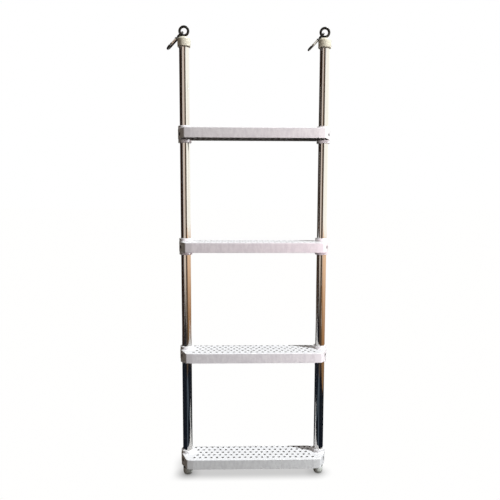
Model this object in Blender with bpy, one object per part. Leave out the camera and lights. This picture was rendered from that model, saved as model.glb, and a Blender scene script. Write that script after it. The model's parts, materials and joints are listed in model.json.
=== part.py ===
"""Boat boarding ladder: four perforated moulded steps on two steel rails, hung by two snap hooks.

Units are metres and +Z is up. The origin is midway between the centres of the two eyes that the ladder
hangs from. +X is the climber's right, and the climber stands at -Y, facing the front of the steps.
"""

from math import acos, asin, atan2, cos, hypot, pi, radians, sin

import bmesh
import bpy
from mathutils import Matrix, Vector

# Fits
CLEARANCE = 0.0003              # gap left between pieces that touch or slide
CUT_MARGIN = 0.001              # how far a cutter runs past the faces it opens
WELD_DISTANCE = 0.00002         # points that a cut leaves closer than this become one

# Rails
RAIL_SPACING = 0.3556           # between the rail axes
RAIL_DIAMETER = 0.0254
RAIL_WALL = 0.0012
RAIL_END_DROP = 0.008           # bare rail below the lowest collar

# Steps
STEP_COUNT = 4
STEP_PITCH = 0.287              # tread to tread
TOP_STEP_DROP = 0.242           # from the eyes down to the top tread
STEP_FRONT = 0.050              # front edge ahead of the rail axes
STEP_BACK = 0.028               # back edge behind the rail axes
STEP_PLATE = 0.003              # tread thickness
SKIRT_HEIGHT = 0.026
SKIRT_WALL = 0.0028
EDGE_BEVEL = 0.0015             # broken edge all round the tread
FRONT_FLAT_INSET = 0.018        # flat front face ends this far inside the rail axis
FACET_WIDTH = 0.0175            # slightly turned facet beside the flat front face
FACET_SETBACK = 0.0015
BACK_CORNER_INSET = 0.011       # back corners, inside the rail axis
RIB_THICKNESS = 0.0020
RIB_HEIGHT = 0.012              # below the tread plate

# Collars that the rails pass through
COLLAR_WALL = 0.0038
COLLAR_LIP = 0.0006             # skirt stands this far outside the collar
COLLAR_RISE = 0.008             # above the tread
COLLAR_DROP = 0.009             # below the skirt

# Drain holes
HOLE_DIAMETER = 0.0065
HOLE_SIDES = 4
HOLE_PITCH = 0.015              # along a row
HOLE_ROW_PITCH = 0.0142         # row to row, every other row shifted by half a pitch
HOLE_FRONT_MARGIN = 0.0139      # front edge to the first row
HOLE_BACK_MARGIN = 0.0070       # least distance from the last row to the back edge
HOLE_SIDE_MARGIN = 0.0200       # least distance from a row's last hole to the rail axis
HOLE_COLLAR_MARGIN = 0.0080     # least distance from a hole's centre to a collar

# Screws that pin the collars to the rails
SCREW_DIAMETER = 0.004
SCREW_LENGTH = 0.010
SCREW_HEAD_DIAMETER = 0.008
SCREW_HEAD_HEIGHT = 0.0022
SCREW_DROP = 0.0140             # below the tread
SCREW_TURN = radians(58)        # from straight outwards towards the climber
SCREW_POINT = 0.3               # flat end of the point, as a share of the shank
HEAD_CROWN = 0.6                # flat crown of a screw or rivet head, as a share of the head
SEAT_DEPTH = 0.0024             # counterbore into the collar
SEAT_MARGIN = 0.0006            # counterbore round the screw head
BOSS_WALL = 0.0018              # round the counterbore, between the collar and the skirt

# Top caps and rail plugs
CAP_WALL = 0.0035
CAP_HEIGHT = 0.0235
CAP_CROWN = 0.004               # thickness over the rail plug
CAP_SHOULDER = 0.0070           # radius of the domed shoulder
PLUG_FLANGE = 0.002
PLUG_LENGTH = 0.020

# Eye bolts
EYE_HOLE = 0.015
EYE_WIRE = 0.0065
EYE_NECK_DIAMETER = 0.010
EYE_NECK = 0.0010               # between the ring and the cap
EYE_SHANK_DIAMETER = 0.006
EYE_SHANK_LENGTH = 0.026

# Snap hooks
HOOK_LENGTH = 0.060
HOOK_WIRE = 0.005
HOOK_EYE_RADIUS = 0.007         # wire centre, bend that hangs in the eye
HOOK_NOSE_RADIUS = 0.008        # wire centre, bend at the free end
TONGUE_THICKNESS = 0.0024       # flattened wire ends under the gate
TONGUE_HEIGHT = 0.0032
TONGUE_TAPER = 0.0035           # length over which the round wire flattens
NOSE_OVERLAP = 0.0040           # how far the nose tongue reaches into the gate
SLOT_ROOM = 0.0010              # the gate's slots run this far past the tongues
GATE_DIAMETER = 0.0050
GATE_REACH = 0.0202             # gate ahead of its pivot
GATE_HEEL = 0.0024              # gate behind its pivot
GATE_EDGE = 0.0009              # broken edge round both ends of the gate
RIVET_DIAMETER = 0.0016
RIVET_HEAD_DIAMETER = 0.0030
RIVET_HEAD_HEIGHT = 0.0005
SPRING_DIAMETER = 0.0026
SPRING_WIRE = 0.0006
SPRING_PITCH = 0.0021
SPRING_END_WALL = 0.0022        # solid gate between the spring's bore and the nose slot

# Feet
FOOT_HEIGHT = 0.019             # below the rail end
FOOT_DOME = 0.010               # height of the rounded bottom
FOOT_FLAT_DIAMETER = 0.012
FOOT_STEM = 0.016               # inside the rail
FOOT_WALL = 0.0025

# Facets
ROUND_SIDES = 16                # rails and everything coaxial with them
WIRE_SIDES = 8                  # hooks, gates and eye shanks
EYE_RING_SIDES = 16
SCREW_SIDES = 6                 # screws, rivets and their holes
SPRING_SIDES = 3
SHOULDER_STEPS = 3
BEND_STEPS = 7
TURN_STEPS = 6
SHARP_ANGLE = pi / 5            # faces that meet at more than this keep a sharp edge
LEAN_HALVINGS = 30              # steps of the search for the hooks' resting angle

# Sizes that follow from those above
RAIL_X = RAIL_SPACING / 2
RAIL_RADIUS = RAIL_DIAMETER / 2
RAIL_BORE_RADIUS = RAIL_RADIUS - RAIL_WALL
SLEEVE_RADIUS = RAIL_RADIUS + CLEARANCE
COLLAR_RADIUS = SLEEVE_RADIUS + COLLAR_WALL
CAP_RADIUS = SLEEVE_RADIUS + CAP_WALL
EYE_RADIUS = EYE_HOLE / 2 + EYE_WIRE
EYE_SHANK_BORE = EYE_SHANK_DIAMETER / 2 + CLEARANCE
SCREW_BORE = SCREW_DIAMETER / 2 + CLEARANCE
SCREW_SEAT = COLLAR_RADIUS - SEAT_DEPTH
SEAT_RADIUS = SCREW_HEAD_DIAMETER / 2 + SEAT_MARGIN
RIVET_BORE = RIVET_DIAMETER / 2 + CLEARANCE
RIVET_GRIP = GATE_DIAMETER / 2 + CLEARANCE
RIVET_REACH = RIVET_GRIP + RIVET_HEAD_HEIGHT
TREAD_HEIGHTS = [-TOP_STEP_DROP - STEP_PITCH * index for index in range(STEP_COUNT)]

NECK_BOTTOM = -(EYE_RADIUS + EYE_NECK)
CAP_TOP = NECK_BOTTOM - CLEARANCE
CAP_BOTTOM = CAP_TOP - CAP_HEIGHT
PLUG_TOP = CAP_TOP - CAP_CROWN - CLEARANCE
RAIL_TOP = PLUG_TOP - PLUG_FLANGE - CLEARANCE
RAIL_BOTTOM = TREAD_HEIGHTS[-1] - SKIRT_HEIGHT - COLLAR_DROP - RAIL_END_DROP
FOOT_TOP = RAIL_BOTTOM - CLEARANCE
FOOT_BOTTOM = FOOT_TOP - FOOT_HEIGHT

SIDES = {"left": -1, "right": 1}


def make_material(name, colour, roughness, metallic=0.0):
    """A plain surface: base colour, roughness and metallic value."""
    material = bpy.data.materials.new(name)
    material.use_nodes = True
    shader = material.node_tree.nodes["Principled BSDF"]
    shader.inputs["Base Color"].default_value = (*colour, 1.0)
    shader.inputs["Roughness"].default_value = roughness
    shader.inputs["Metallic"].default_value = metallic
    return material


def finish_mesh(bm, name):
    """Turn a closed bmesh into a mesh with its faces pointing out and its round sides smooth."""
    bmesh.ops.recalc_face_normals(bm, faces=bm.faces)
    mesh = bpy.data.meshes.new(name)
    bm.to_mesh(mesh)
    bm.free()
    mesh.shade_smooth()
    mesh.set_sharp_from_angle(angle=SHARP_ANGLE)
    return mesh


def add_piece(name, mesh, material, location=(0, 0, 0), turn=(0, 0, 0), parent=None):
    """One physical piece of the ladder."""
    piece = bpy.data.objects.new(name, mesh)
    bpy.context.scene.collection.objects.link(piece)
    mesh.materials.clear()
    mesh.materials.append(material)
    piece.parent = parent
    piece.location = location
    piece.rotation_euler = turn
    return piece


def combined(base, steps, name):
    """The base mesh after a series of (operation, tool mesh) Booleans, with stray points welded."""
    work = bpy.data.objects.new(name + "_blank", base)
    bpy.context.scene.collection.objects.link(work)
    tools = []
    for operation, tool_mesh in steps:
        tool = bpy.data.objects.new(name + "_tool", tool_mesh)
        bpy.context.scene.collection.objects.link(tool)
        tool.hide_render = True
        tool.display_type = "WIRE"
        tools.append(tool)
        modifier = work.modifiers.new(operation.lower(), "BOOLEAN")
        modifier.operation = operation
        modifier.solver = "EXACT"
        modifier.object = tool
    bm = bmesh.new()
    bm.from_object(work, bpy.context.evaluated_depsgraph_get())
    bmesh.ops.remove_doubles(bm, verts=bm.verts, dist=WELD_DISTANCE)
    for scrap in [work] + tools:
        bpy.data.objects.remove(scrap)
    return finish_mesh(bm, name)


def revolve(bm, profile, sides, place=Matrix(), ring=False):
    """Spin a profile of (radius, height) points round the Z axis of a place.

    The profile of a solid has flat ends, which are filled, and the profile of a ring is closed.
    """
    known = set(bm.verts)
    verts = [bm.verts.new((radius, 0, height)) for radius, height in profile]
    edges = [bm.edges.new(pair) for pair in zip(verts, verts[1:])]
    if ring:
        edges.append(bm.edges.new((verts[-1], verts[0])))
    bmesh.ops.spin(bm, geom=verts + edges, axis=(0, 0, 1), cent=(0, 0, 0), angle=2 * pi,
                   steps=sides, use_merge=True)
    bmesh.ops.holes_fill(bm, edges=[edge for edge in bm.edges if edge.is_boundary])
    bmesh.ops.transform(bm, matrix=place, verts=[vert for vert in bm.verts if vert not in known])


def revolved_mesh(name, profile, sides, place=Matrix(), ring=False):
    """A turned piece."""
    bm = bmesh.new()
    revolve(bm, profile, sides, place, ring)
    return finish_mesh(bm, name)


def add_loops(bm, loops):
    """Skin a stack of equal loops of points and close both ends."""
    rings = [[bm.verts.new(point) for point in loop] for loop in loops]
    for lower, upper in zip(rings, rings[1:]):
        for index, vert in enumerate(lower):
            after = (index + 1) % len(lower)
            bm.faces.new((vert, lower[after], upper[after], upper[index]))
    bm.faces.new(reversed(rings[0]))
    bm.faces.new(rings[-1])


def add_prism(bm, outline, low, high):
    """Extrude a plan outline between two heights."""
    add_loops(bm, [[(x, y, height) for x, y in outline] for height in (low, high)])


def add_box(bm, low, high):
    """A box between two corners."""
    outline = [(low[0], low[1]), (high[0], low[1]), (high[0], high[1]), (low[0], high[1])]
    add_prism(bm, outline, low[2], high[2])


def box_mesh(name, low, high):
    """A box-shaped tool."""
    bm = bmesh.new()
    add_box(bm, low, high)
    return finish_mesh(bm, name)


def rod_profile(radius, low, high):
    """Profile of a plain rod along its axis."""
    return [(radius, high), (radius, low)]


def along_x(origin, direction):
    """A place whose Z axis points along +X or -X from an origin."""
    return Matrix.Translation(origin) @ Matrix.Rotation(direction * pi / 2, 4, "Y")


def arc(centre, radius, start, end, steps):
    """Points along an arc, both ends included."""
    angles = [start + (end - start) * index / steps for index in range(steps + 1)]
    return [(centre[0] + radius * cos(angle), centre[1] + radius * sin(angle)) for angle in angles]


def tangent_angle(point, centre, radius, side):
    """Where the tangent from a point touches a circle, as an angle; side picks one of the two."""
    offset = (point[0] - centre[0], point[1] - centre[1])
    return atan2(offset[1], offset[0]) + side * acos(radius / hypot(*offset))


def inset(outline, distance):
    """Move every edge of a convex counter-clockwise outline inwards by a distance."""
    count = len(outline)
    moved = []
    for index in range(count):
        before, here, after = (Vector(outline[(index + shift) % count]) for shift in (-1, 0, 1))
        first = (here - before).normalized()
        second = (after - here).normalized()
        normals = Vector((-first.y, first.x)) + Vector((-second.y, second.x))
        corner = here + normals * (distance / (1 + first.dot(second)))
        moved.append((corner.x, corner.y))
    return moved


def step_outline():
    """Plan of a step: flat front, turned facets, long corner chamfers, round ends, straight back."""
    radius = COLLAR_RADIUS + COLLAR_LIP
    centre = (RAIL_X, 0)
    flat = (RAIL_X - FRONT_FLAT_INSET, -STEP_FRONT)
    facet = (flat[0] + FACET_WIDTH, flat[1] + FACET_SETBACK)
    back = (RAIL_X - BACK_CORNER_INSET, STEP_BACK)
    start = tangent_angle(facet, centre, radius, 1)
    end = tangent_angle(back, centre, radius, -1)
    right = [flat, facet] + arc(centre, radius, start, end, SHOULDER_STEPS) + [back]
    return right + [(-x, y) for x, y in reversed(right)]


def step_tray():
    """Tread plate with its broken edge and the skirt round it, open underneath."""
    outline = step_outline()
    inner = inset(outline, SKIRT_WALL)
    levels = [
        (inset(outline, EDGE_BEVEL), 0),
        (outline, -EDGE_BEVEL),
        (outline, -SKIRT_HEIGHT),
        (inner, -SKIRT_HEIGHT),
        (inner, -STEP_PLATE),
    ]
    bm = bmesh.new()
    add_loops(bm, [[(x, y, height) for x, y in loop] for loop, height in levels])
    return finish_mesh(bm, "step_tray")


def hole_rows():
    """Rows of drain hole centres, front to back, as (y, list of x)."""
    rows = []
    y = -STEP_FRONT + HOLE_FRONT_MARGIN
    reach = RAIL_X - HOLE_SIDE_MARGIN
    while y <= STEP_BACK - HOLE_BACK_MARGIN:
        shift = HOLE_PITCH / 2 if len(rows) % 2 == 0 else 0
        columns = int((reach - shift) / HOLE_PITCH) + 1
        right = [shift + HOLE_PITCH * index for index in range(columns)]
        right = [x for x in right if hypot(RAIL_X - x, y) > COLLAR_RADIUS + HOLE_COLLAR_MARGIN]
        rows.append((y, sorted({sign * x for x in right for sign in (-1, 1)})))
        y += HOLE_ROW_PITCH
    return rows


def collar_posts():
    """Solid posts that become the collars once the rails' bores are cut."""
    bm = bmesh.new()
    profile = rod_profile(COLLAR_RADIUS, -SKIRT_HEIGHT - COLLAR_DROP, COLLAR_RISE)
    for sign in SIDES.values():
        revolve(bm, profile, ROUND_SIDES, Matrix.Translation((sign * RAIL_X, 0, 0)))
    return finish_mesh(bm, "collar_posts")


def long_ribs():
    """Ribs along the step, midway between the two front rows and the two back rows of holes."""
    rows = [y for y, _ in hole_rows()]
    bm = bmesh.new()
    for y in ((rows[0] + rows[1]) / 2, (rows[-1] + rows[-2]) / 2):
        reach = RAIL_X - BACK_CORNER_INSET
        half = RIB_THICKNESS / 2
        add_box(bm, (-reach, y - half, -STEP_PLATE - RIB_HEIGHT), (reach, y + half, -STEP_PLATE / 2))
    return finish_mesh(bm, "long_ribs")


def screw_heading(sign):
    """Direction of a rail's screws in plan, turned from straight outwards towards the climber."""
    return atan2(-sin(SCREW_TURN), sign * cos(SCREW_TURN))


def screw_axis(sign, height):
    """A place on a rail's axis whose Z axis points out along a screw."""
    turn = Matrix.Rotation(screw_heading(sign), 4, "Z") @ Matrix.Rotation(pi / 2, 4, "Y")
    return Matrix.Translation((sign * RAIL_X, 0, height)) @ turn


def screw_bosses():
    """Bosses round the screws' counterbores, from the collars to the middle of the skirt."""
    bosses = bmesh.new()
    for sign in SIDES.values():
        boss = rod_profile(SEAT_RADIUS + BOSS_WALL, SLEEVE_RADIUS + COLLAR_WALL / 2, STEP_FRONT)
        revolve(bosses, boss, WIRE_SIDES, screw_axis(sign, -SCREW_DROP))
    room = bmesh.new()
    add_prism(room, inset(step_outline(), SKIRT_WALL / 2), -SKIRT_HEIGHT, -STEP_PLATE / 2)
    steps = [("INTERSECT", finish_mesh(room, "skirt_room"))]
    return combined(finish_mesh(bosses, "boss_rods"), steps, "screw_bosses")


def step_openings():
    """Rail bores, screw seats and drain holes of a step, none of which meet."""
    bm = bmesh.new()
    low = -SKIRT_HEIGHT - COLLAR_DROP - CUT_MARGIN
    bore = rod_profile(SLEEVE_RADIUS, low, COLLAR_RISE + CUT_MARGIN)
    seat = rod_profile(SEAT_RADIUS, SCREW_SEAT, STEP_FRONT)
    for sign in SIDES.values():
        revolve(bm, bore, ROUND_SIDES, Matrix.Translation((sign * RAIL_X, 0, 0)))
        revolve(bm, seat, WIRE_SIDES, screw_axis(sign, -SCREW_DROP))
    for y, columns in hole_rows():
        for x in columns:
            outline = arc((x, y), HOLE_DIAMETER / 2, 0, 2 * pi, HOLE_SIDES)[:-1]
            add_prism(bm, outline, -STEP_PLATE - CUT_MARGIN, CUT_MARGIN)
    return finish_mesh(bm, "step_openings")


def screw_holes(heights):
    """Radial holes through the outer side of both rails or of a step's collars."""
    bm = bmesh.new()
    hole = rod_profile(SCREW_BORE, RAIL_BORE_RADIUS / 2, COLLAR_RADIUS)
    for sign in SIDES.values():
        for height in heights:
            revolve(bm, hole, SCREW_SIDES, screw_axis(sign, height))
    return finish_mesh(bm, "screw_holes")


def make_steps(material):
    """Four equal mouldings."""
    mesh = combined(step_tray(), [
        ("UNION", collar_posts()),
        ("UNION", long_ribs()),
        ("UNION", screw_bosses()),
        ("DIFFERENCE", step_openings()),
        ("DIFFERENCE", screw_holes([-SCREW_DROP])),
    ], "step")
    for index, height in enumerate(TREAD_HEIGHTS):
        add_piece(f"step_{index + 1}", mesh, material, (0, 0, height))


def make_rails(material):
    """Tubes with a hole for each step screw."""
    profile = [
        (RAIL_BORE_RADIUS, RAIL_TOP),
        (RAIL_RADIUS, RAIL_TOP),
        (RAIL_RADIUS, RAIL_BOTTOM),
        (RAIL_BORE_RADIUS, RAIL_BOTTOM),
    ]
    for side, sign in SIDES.items():
        place = Matrix.Translation((sign * RAIL_X, 0, 0))
        tube = revolved_mesh("tube", profile, ROUND_SIDES, place, ring=True)
        holes = screw_holes([height - SCREW_DROP for height in TREAD_HEIGHTS])
        add_piece(side + "_rail", combined(tube, [("DIFFERENCE", holes)], side + "_rail"), material)


def make_screws(material):
    """Pan-head screws, seated in the counterbores of the collars."""
    head = SCREW_HEAD_DIAMETER / 2
    shank = SCREW_DIAMETER / 2
    profile = [
        (head * HEAD_CROWN, SCREW_HEAD_HEIGHT),
        (head, SCREW_HEAD_HEIGHT * (1 - HEAD_CROWN)),
        (head, 0),
        (shank, 0),
        (shank, shank - SCREW_LENGTH),
        (shank * SCREW_POINT, -SCREW_LENGTH),
    ]
    mesh = revolved_mesh("screw", profile, SCREW_SIDES)
    seat = SCREW_SEAT + CLEARANCE
    for index, height in enumerate(TREAD_HEIGHTS):
        for side, sign in SIDES.items():
            heading = screw_heading(sign)
            place = (sign * RAIL_X + seat * cos(heading), seat * sin(heading), height - SCREW_DROP)
            add_piece(f"step_{index + 1}_{side}_screw", mesh, material, place, (0, pi / 2, heading))


def make_caps(material):
    """Domed caps over the rail tops."""
    shoulder = (CAP_RADIUS - CAP_SHOULDER, CAP_TOP - CAP_SHOULDER)
    profile = [(EYE_SHANK_BORE, CAP_TOP)]
    profile += arc(shoulder, CAP_SHOULDER, pi / 2, 0, SHOULDER_STEPS)
    profile += [
        (CAP_RADIUS, CAP_BOTTOM),
        (SLEEVE_RADIUS, CAP_BOTTOM),
        (SLEEVE_RADIUS, CAP_TOP - CAP_CROWN),
        (EYE_SHANK_BORE, CAP_TOP - CAP_CROWN),
    ]
    for side, sign in SIDES.items():
        mesh = revolved_mesh(side + "_top_cap", profile, ROUND_SIDES, ring=True)
        add_piece(side + "_top_cap", mesh, material, (sign * RAIL_X, 0, 0))


def make_rail_plugs(material):
    """Flanged plugs in the rail tops, bored for the eye bolts."""
    body = RAIL_BORE_RADIUS - CLEARANCE
    profile = [
        (EYE_SHANK_BORE, PLUG_TOP),
        (RAIL_RADIUS, PLUG_TOP),
        (RAIL_RADIUS, PLUG_TOP - PLUG_FLANGE),
        (body, PLUG_TOP - PLUG_FLANGE),
        (body, PLUG_TOP - PLUG_FLANGE - PLUG_LENGTH),
        (EYE_SHANK_BORE, PLUG_TOP - PLUG_FLANGE - PLUG_LENGTH),
    ]
    for side, sign in SIDES.items():
        mesh = revolved_mesh(side + "_rail_plug", profile, ROUND_SIDES, ring=True)
        add_piece(side + "_rail_plug", mesh, material, (sign * RAIL_X, 0, 0))


def make_eye_bolts(material):
    """A ring facing the climber, on a short neck and a shank that runs down into the rail plug."""
    ring_radius = EYE_HOLE / 2 + EYE_WIRE / 2
    section = arc((ring_radius, 0), EYE_WIRE / 2, 2 * pi, 0, WIRE_SIDES)[:-1]
    neck = EYE_NECK_DIAMETER / 2
    shank = EYE_SHANK_DIAMETER / 2
    stem = [
        (shank, -EYE_RADIUS + EYE_WIRE / 2),
        (neck, -EYE_RADIUS),
        (neck, NECK_BOTTOM),
        (shank, NECK_BOTTOM),
        (shank, NECK_BOTTOM - EYE_SHANK_LENGTH),
    ]
    for side, sign in SIDES.items():
        facing = Matrix.Rotation(pi / 2, 4, "X")
        ring = revolved_mesh("eye_ring", section, EYE_RING_SIDES, facing, ring=True)
        mesh = combined(ring, [("UNION", revolved_mesh("eye_stem", stem, WIRE_SIDES))], side + "_eye_bolt")
        add_piece(side + "_eye_bolt", mesh, material, (sign * RAIL_X, 0, 0))


def make_feet(material):
    """Domed feet with a hollow stem in the rail."""
    stem = RAIL_BORE_RADIUS - CLEARANCE
    flat = FOOT_FLAT_DIAMETER / 2
    quarter = arc((0, 0), 1, 0, -pi / 2, SHOULDER_STEPS)
    dome_top = FOOT_BOTTOM + FOOT_DOME
    dome = [(flat + (RAIL_RADIUS - flat) * x, dome_top + FOOT_DOME * z) for x, z in quarter]
    profile = [
        (stem - FOOT_WALL, FOOT_TOP),
        (stem - FOOT_WALL, FOOT_TOP + FOOT_STEM),
        (stem, FOOT_TOP + FOOT_STEM),
        (stem, FOOT_TOP),
        (RAIL_RADIUS, FOOT_TOP),
    ] + dome
    for side, sign in SIDES.items():
        mesh = revolved_mesh(side + "_foot", profile, ROUND_SIDES)
        add_piece(side + "_foot", mesh, material, (sign * RAIL_X, 0, 0))


class SnapHookPlan:
    """Flat plan of a snap hook: u runs from the bend in the eye to the free end, v towards the gate."""

    def __init__(self):
        run = HOOK_LENGTH - HOOK_WIRE
        self.eye_bend = Vector((HOOK_EYE_RADIUS, 0))
        self.nose_bend = Vector((run - HOOK_NOSE_RADIUS, 0))
        self.slope = asin((HOOK_NOSE_RADIUS - HOOK_EYE_RADIUS) / (self.nose_bend.x - self.eye_bend.x))
        self.along = Vector((cos(self.slope), sin(self.slope)))
        across = Vector((-sin(self.slope), cos(self.slope)))
        self.nose_root = self.nose_bend + across * HOOK_NOSE_RADIUS - self.along * TONGUE_TAPER
        self.nose_tip = self.nose_root - self.along * NOSE_OVERLAP
        self.pivot = self.nose_root - self.along * (GATE_REACH + CLEARANCE)
        heel_sweep = hypot(GATE_HEEL, GATE_DIAMETER / 2)
        self.pivot_root = self.pivot - self.along * (heel_sweep + CLEARANCE)
        self.pivot_slot = TONGUE_HEIGHT / 2 + SLOT_ROOM
        self.nose_slot = (self.nose_tip - self.pivot).length - SLOT_ROOM
        self.spring_length = self.nose_slot - SPRING_END_WALL - self.pivot_slot - 2 * CLEARANCE

    def wire(self):
        """Wire centre from the pivot tongue round both bends to the nose, as (point, flat)."""
        tip = self.pivot + self.along * (TONGUE_HEIGHT / 2)
        full = self.pivot_root - self.along * TONGUE_TAPER
        first = pi / 2 + self.slope
        last = 3 * pi / 2 - self.slope
        bends = arc(self.eye_bend, HOOK_EYE_RADIUS, first, last, BEND_STEPS)
        bends += arc(self.nose_bend, HOOK_NOSE_RADIUS, last, 2 * pi + first, BEND_STEPS)
        path = [(tip, True), (self.pivot_root, True), (full, False)]
        path += [(Vector(point), False) for point in bends]
        path += [(self.nose_root, True), (self.nose_tip, True)]
        return path


def hook_space(point):
    """A plan point in a hook's own space: hanging straight down from the eye, gate to the front."""
    seat = EYE_HOLE / 2 - HOOK_WIRE / 2 - CLEARANCE
    return Vector((0, -point.y, -seat - point.x))


def resting_lean(plan):
    """Angle at which a hook comes to rest against the shoulder of its cap, from straight down."""
    wire = [hook_space(point) for point, flat in plan.wire() if not flat]
    samples = [(hook_space(plan.pivot), RIVET_REACH)]
    for start, end in zip(wire, wire[1:]):
        between = [start.lerp(end, index / TURN_STEPS) for index in range(TURN_STEPS)]
        samples += [(sample, HOOK_WIRE / 2) for sample in between]

    def clear(lean):
        turn = Matrix.Rotation(lean, 3, "Y")
        for sample, reach in samples:
            spot = turn @ sample
            outward = max(hypot(spot.x, spot.y) - CAP_RADIUS + CAP_SHOULDER, 0)
            upward = max(spot.z - CAP_TOP + CAP_SHOULDER, 0)
            if hypot(outward, upward) - CAP_SHOULDER < reach + CLEARANCE:
                return False
        return True

    low, high = 0.0, pi
    for _ in range(LEAN_HALVINGS):
        middle = (low + high) / 2
        low, high = (low, middle) if clear(middle) else (middle, high)
    return high


def sweep_mesh(name, sections, sides):
    """Skin a tube through sections given as (centre, first half axis, second half axis)."""
    bm = bmesh.new()
    angles = [2 * pi * (index + 0.5) / sides for index in range(sides)]
    add_loops(bm, [[centre + first * cos(angle) + second * sin(angle) for angle in angles]
                   for centre, first, second in sections])
    return finish_mesh(bm, name)


def hook_body_mesh(plan, name):
    """Bent wire with a flattened tongue at each end and a rivet hole in the pivot tongue."""
    path = plan.wire()
    sections = []
    for index, (point, flat) in enumerate(path):
        before = path[max(index - 1, 0)][0]
        after = path[min(index + 1, len(path) - 1)][0]
        ahead = (after - before).normalized()
        sideways = Vector((-ahead.y, ahead.x))
        thickness = TONGUE_THICKNESS if flat else HOOK_WIRE
        height = TONGUE_HEIGHT if flat else HOOK_WIRE
        spread = hook_space(point + sideways * (height / 2)) - hook_space(point)
        sections.append((hook_space(point), Vector((thickness / 2, 0, 0)), spread))
    body = sweep_mesh(name, sections, WIRE_SIDES)
    rivet_hole = rod_profile(RIVET_BORE, -HOOK_WIRE, HOOK_WIRE)
    place = along_x(hook_space(plan.pivot), 1)
    hole = revolved_mesh("rivet_hole", rivet_hole, SCREW_SIDES, place)
    return combined(body, [("DIFFERENCE", hole)], name)


def gate_mesh(plan, name):
    """Round gate, slotted at both ends and bored for its spring; Z runs along it from the pivot."""
    radius = GATE_DIAMETER / 2
    profile = [
        (radius - GATE_EDGE, GATE_REACH),
        (radius, GATE_REACH - GATE_EDGE),
        (radius, GATE_EDGE - GATE_HEEL),
        (radius - GATE_EDGE, -GATE_HEEL),
    ]
    bar = revolved_mesh(name, profile, WIRE_SIDES)
    half_slot = TONGUE_THICKNESS / 2 + CLEARANCE
    floor = TONGUE_HEIGHT / 2 + CLEARANCE
    pivot_slot = box_mesh("pivot_slot", (-half_slot, -GATE_DIAMETER, -GATE_HEEL - CUT_MARGIN),
                          (half_slot, GATE_DIAMETER, plan.pivot_slot))
    nose_slot = box_mesh("nose_slot", (-half_slot, -floor, plan.nose_slot),
                         (half_slot, GATE_DIAMETER, GATE_REACH + CUT_MARGIN))
    rivet_hole = rod_profile(RIVET_BORE, -GATE_DIAMETER, GATE_DIAMETER)
    spring_bore = rod_profile(SPRING_DIAMETER / 2 + CLEARANCE, 0, plan.nose_slot - SPRING_END_WALL)
    return combined(bar, [
        ("DIFFERENCE", pivot_slot),
        ("DIFFERENCE", nose_slot),
        ("DIFFERENCE", revolved_mesh("rivet_hole", rivet_hole, SCREW_SIDES, along_x((0, 0, 0), 1))),
        ("DIFFERENCE", revolved_mesh("spring_bore", spring_bore, WIRE_SIDES)),
    ], name)


def rivet_mesh(name):
    """Rivet through the gate and the pivot tongue, with a head on each side."""
    pin = RIVET_DIAMETER / 2
    head = RIVET_HEAD_DIAMETER / 2
    half = [(head * HEAD_CROWN, RIVET_REACH), (head, RIVET_GRIP), (pin, RIVET_GRIP)]
    profile = half + [(radius, -height) for radius, height in reversed(half)]
    return revolved_mesh(name, profile, SCREW_SIDES, along_x((0, 0, 0), 1))


def spring_mesh(plan, name):
    """Coil spring along Z, starting just past the gate's pivot slot."""
    wire = SPRING_WIRE / 2
    radius = SPRING_DIAMETER / 2 - wire
    low = plan.pivot_slot + CLEARANCE + wire
    rise = plan.spring_length - SPRING_WIRE
    count = int(rise / SPRING_PITCH * TURN_STEPS)
    sections = []
    for index in range(count + 1):
        angle = 2 * pi * index / TURN_STEPS
        outward = Vector((cos(angle), sin(angle), 0))
        centre = outward * radius + Vector((0, 0, low + rise * index / count))
        sections.append((centre, outward * wire, Vector((0, 0, wire))))
    return sweep_mesh(name, sections, SPRING_SIDES)


def make_hooks(body_material, gate_material):
    """A snap hook in each eye, leaning on its cap, with its gate, rivet and spring."""
    plan = SnapHookPlan()
    lean = resting_lean(plan)
    gate_turn = (pi - plan.slope, 0, 0)
    pivot = hook_space(plan.pivot)
    for side, sign in SIDES.items():
        body = add_piece(side + "_hook", hook_body_mesh(plan, side + "_hook"), body_material,
                         (sign * RAIL_X, 0, 0), (0, lean, 0))
        gate = add_piece(side + "_gate", gate_mesh(plan, side + "_gate"), gate_material,
                         pivot, gate_turn, body)
        add_piece(side + "_gate_rivet", rivet_mesh(side + "_gate_rivet"), body_material,
                  pivot, (0, 0, 0), body)
        add_piece(side + "_gate_spring", spring_mesh(plan, side + "_gate_spring"), gate_material,
                  parent=gate)


def main():
    for old in list(bpy.data.objects):
        bpy.data.objects.remove(old)
    polished_steel = make_material("polished_steel", (0.62, 0.60, 0.58), 0.12, 1.0)
    forged_steel = make_material("forged_steel", (0.42, 0.41, 0.40), 0.22, 1.0)
    screw_steel = make_material("screw_steel", (0.55, 0.55, 0.55), 0.30, 1.0)
    step_plastic = make_material("step_plastic", (0.80, 0.79, 0.81), 0.45)
    cap_plastic = make_material("cap_plastic", (0.86, 0.83, 0.72), 0.40)
    plug_plastic = make_material("plug_plastic", (0.10, 0.10, 0.10), 0.55)
    foot_plastic = make_material("foot_plastic", (0.74, 0.74, 0.71), 0.50)
    make_rails(polished_steel)
    make_steps(step_plastic)
    make_screws(screw_steel)
    make_caps(cap_plastic)
    make_rail_plugs(plug_plastic)
    make_eye_bolts(forged_steel)
    make_hooks(forged_steel, polished_steel)
    make_feet(foot_plastic)


main()
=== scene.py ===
"""Looks of the boat boarding ladder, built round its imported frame.

Units are metres in the frame's own axes: +Z is up, +X is the climber's right and the climber stands at -Y.
Every piece sits at the origin with its place in its mesh, and rides on the body that carries it.
"""

import json
from math import acos, asin, atan2, cos, hypot, pi, radians, sin, tan

import bmesh
import bpy
from mathutils import Matrix, Vector


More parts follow.
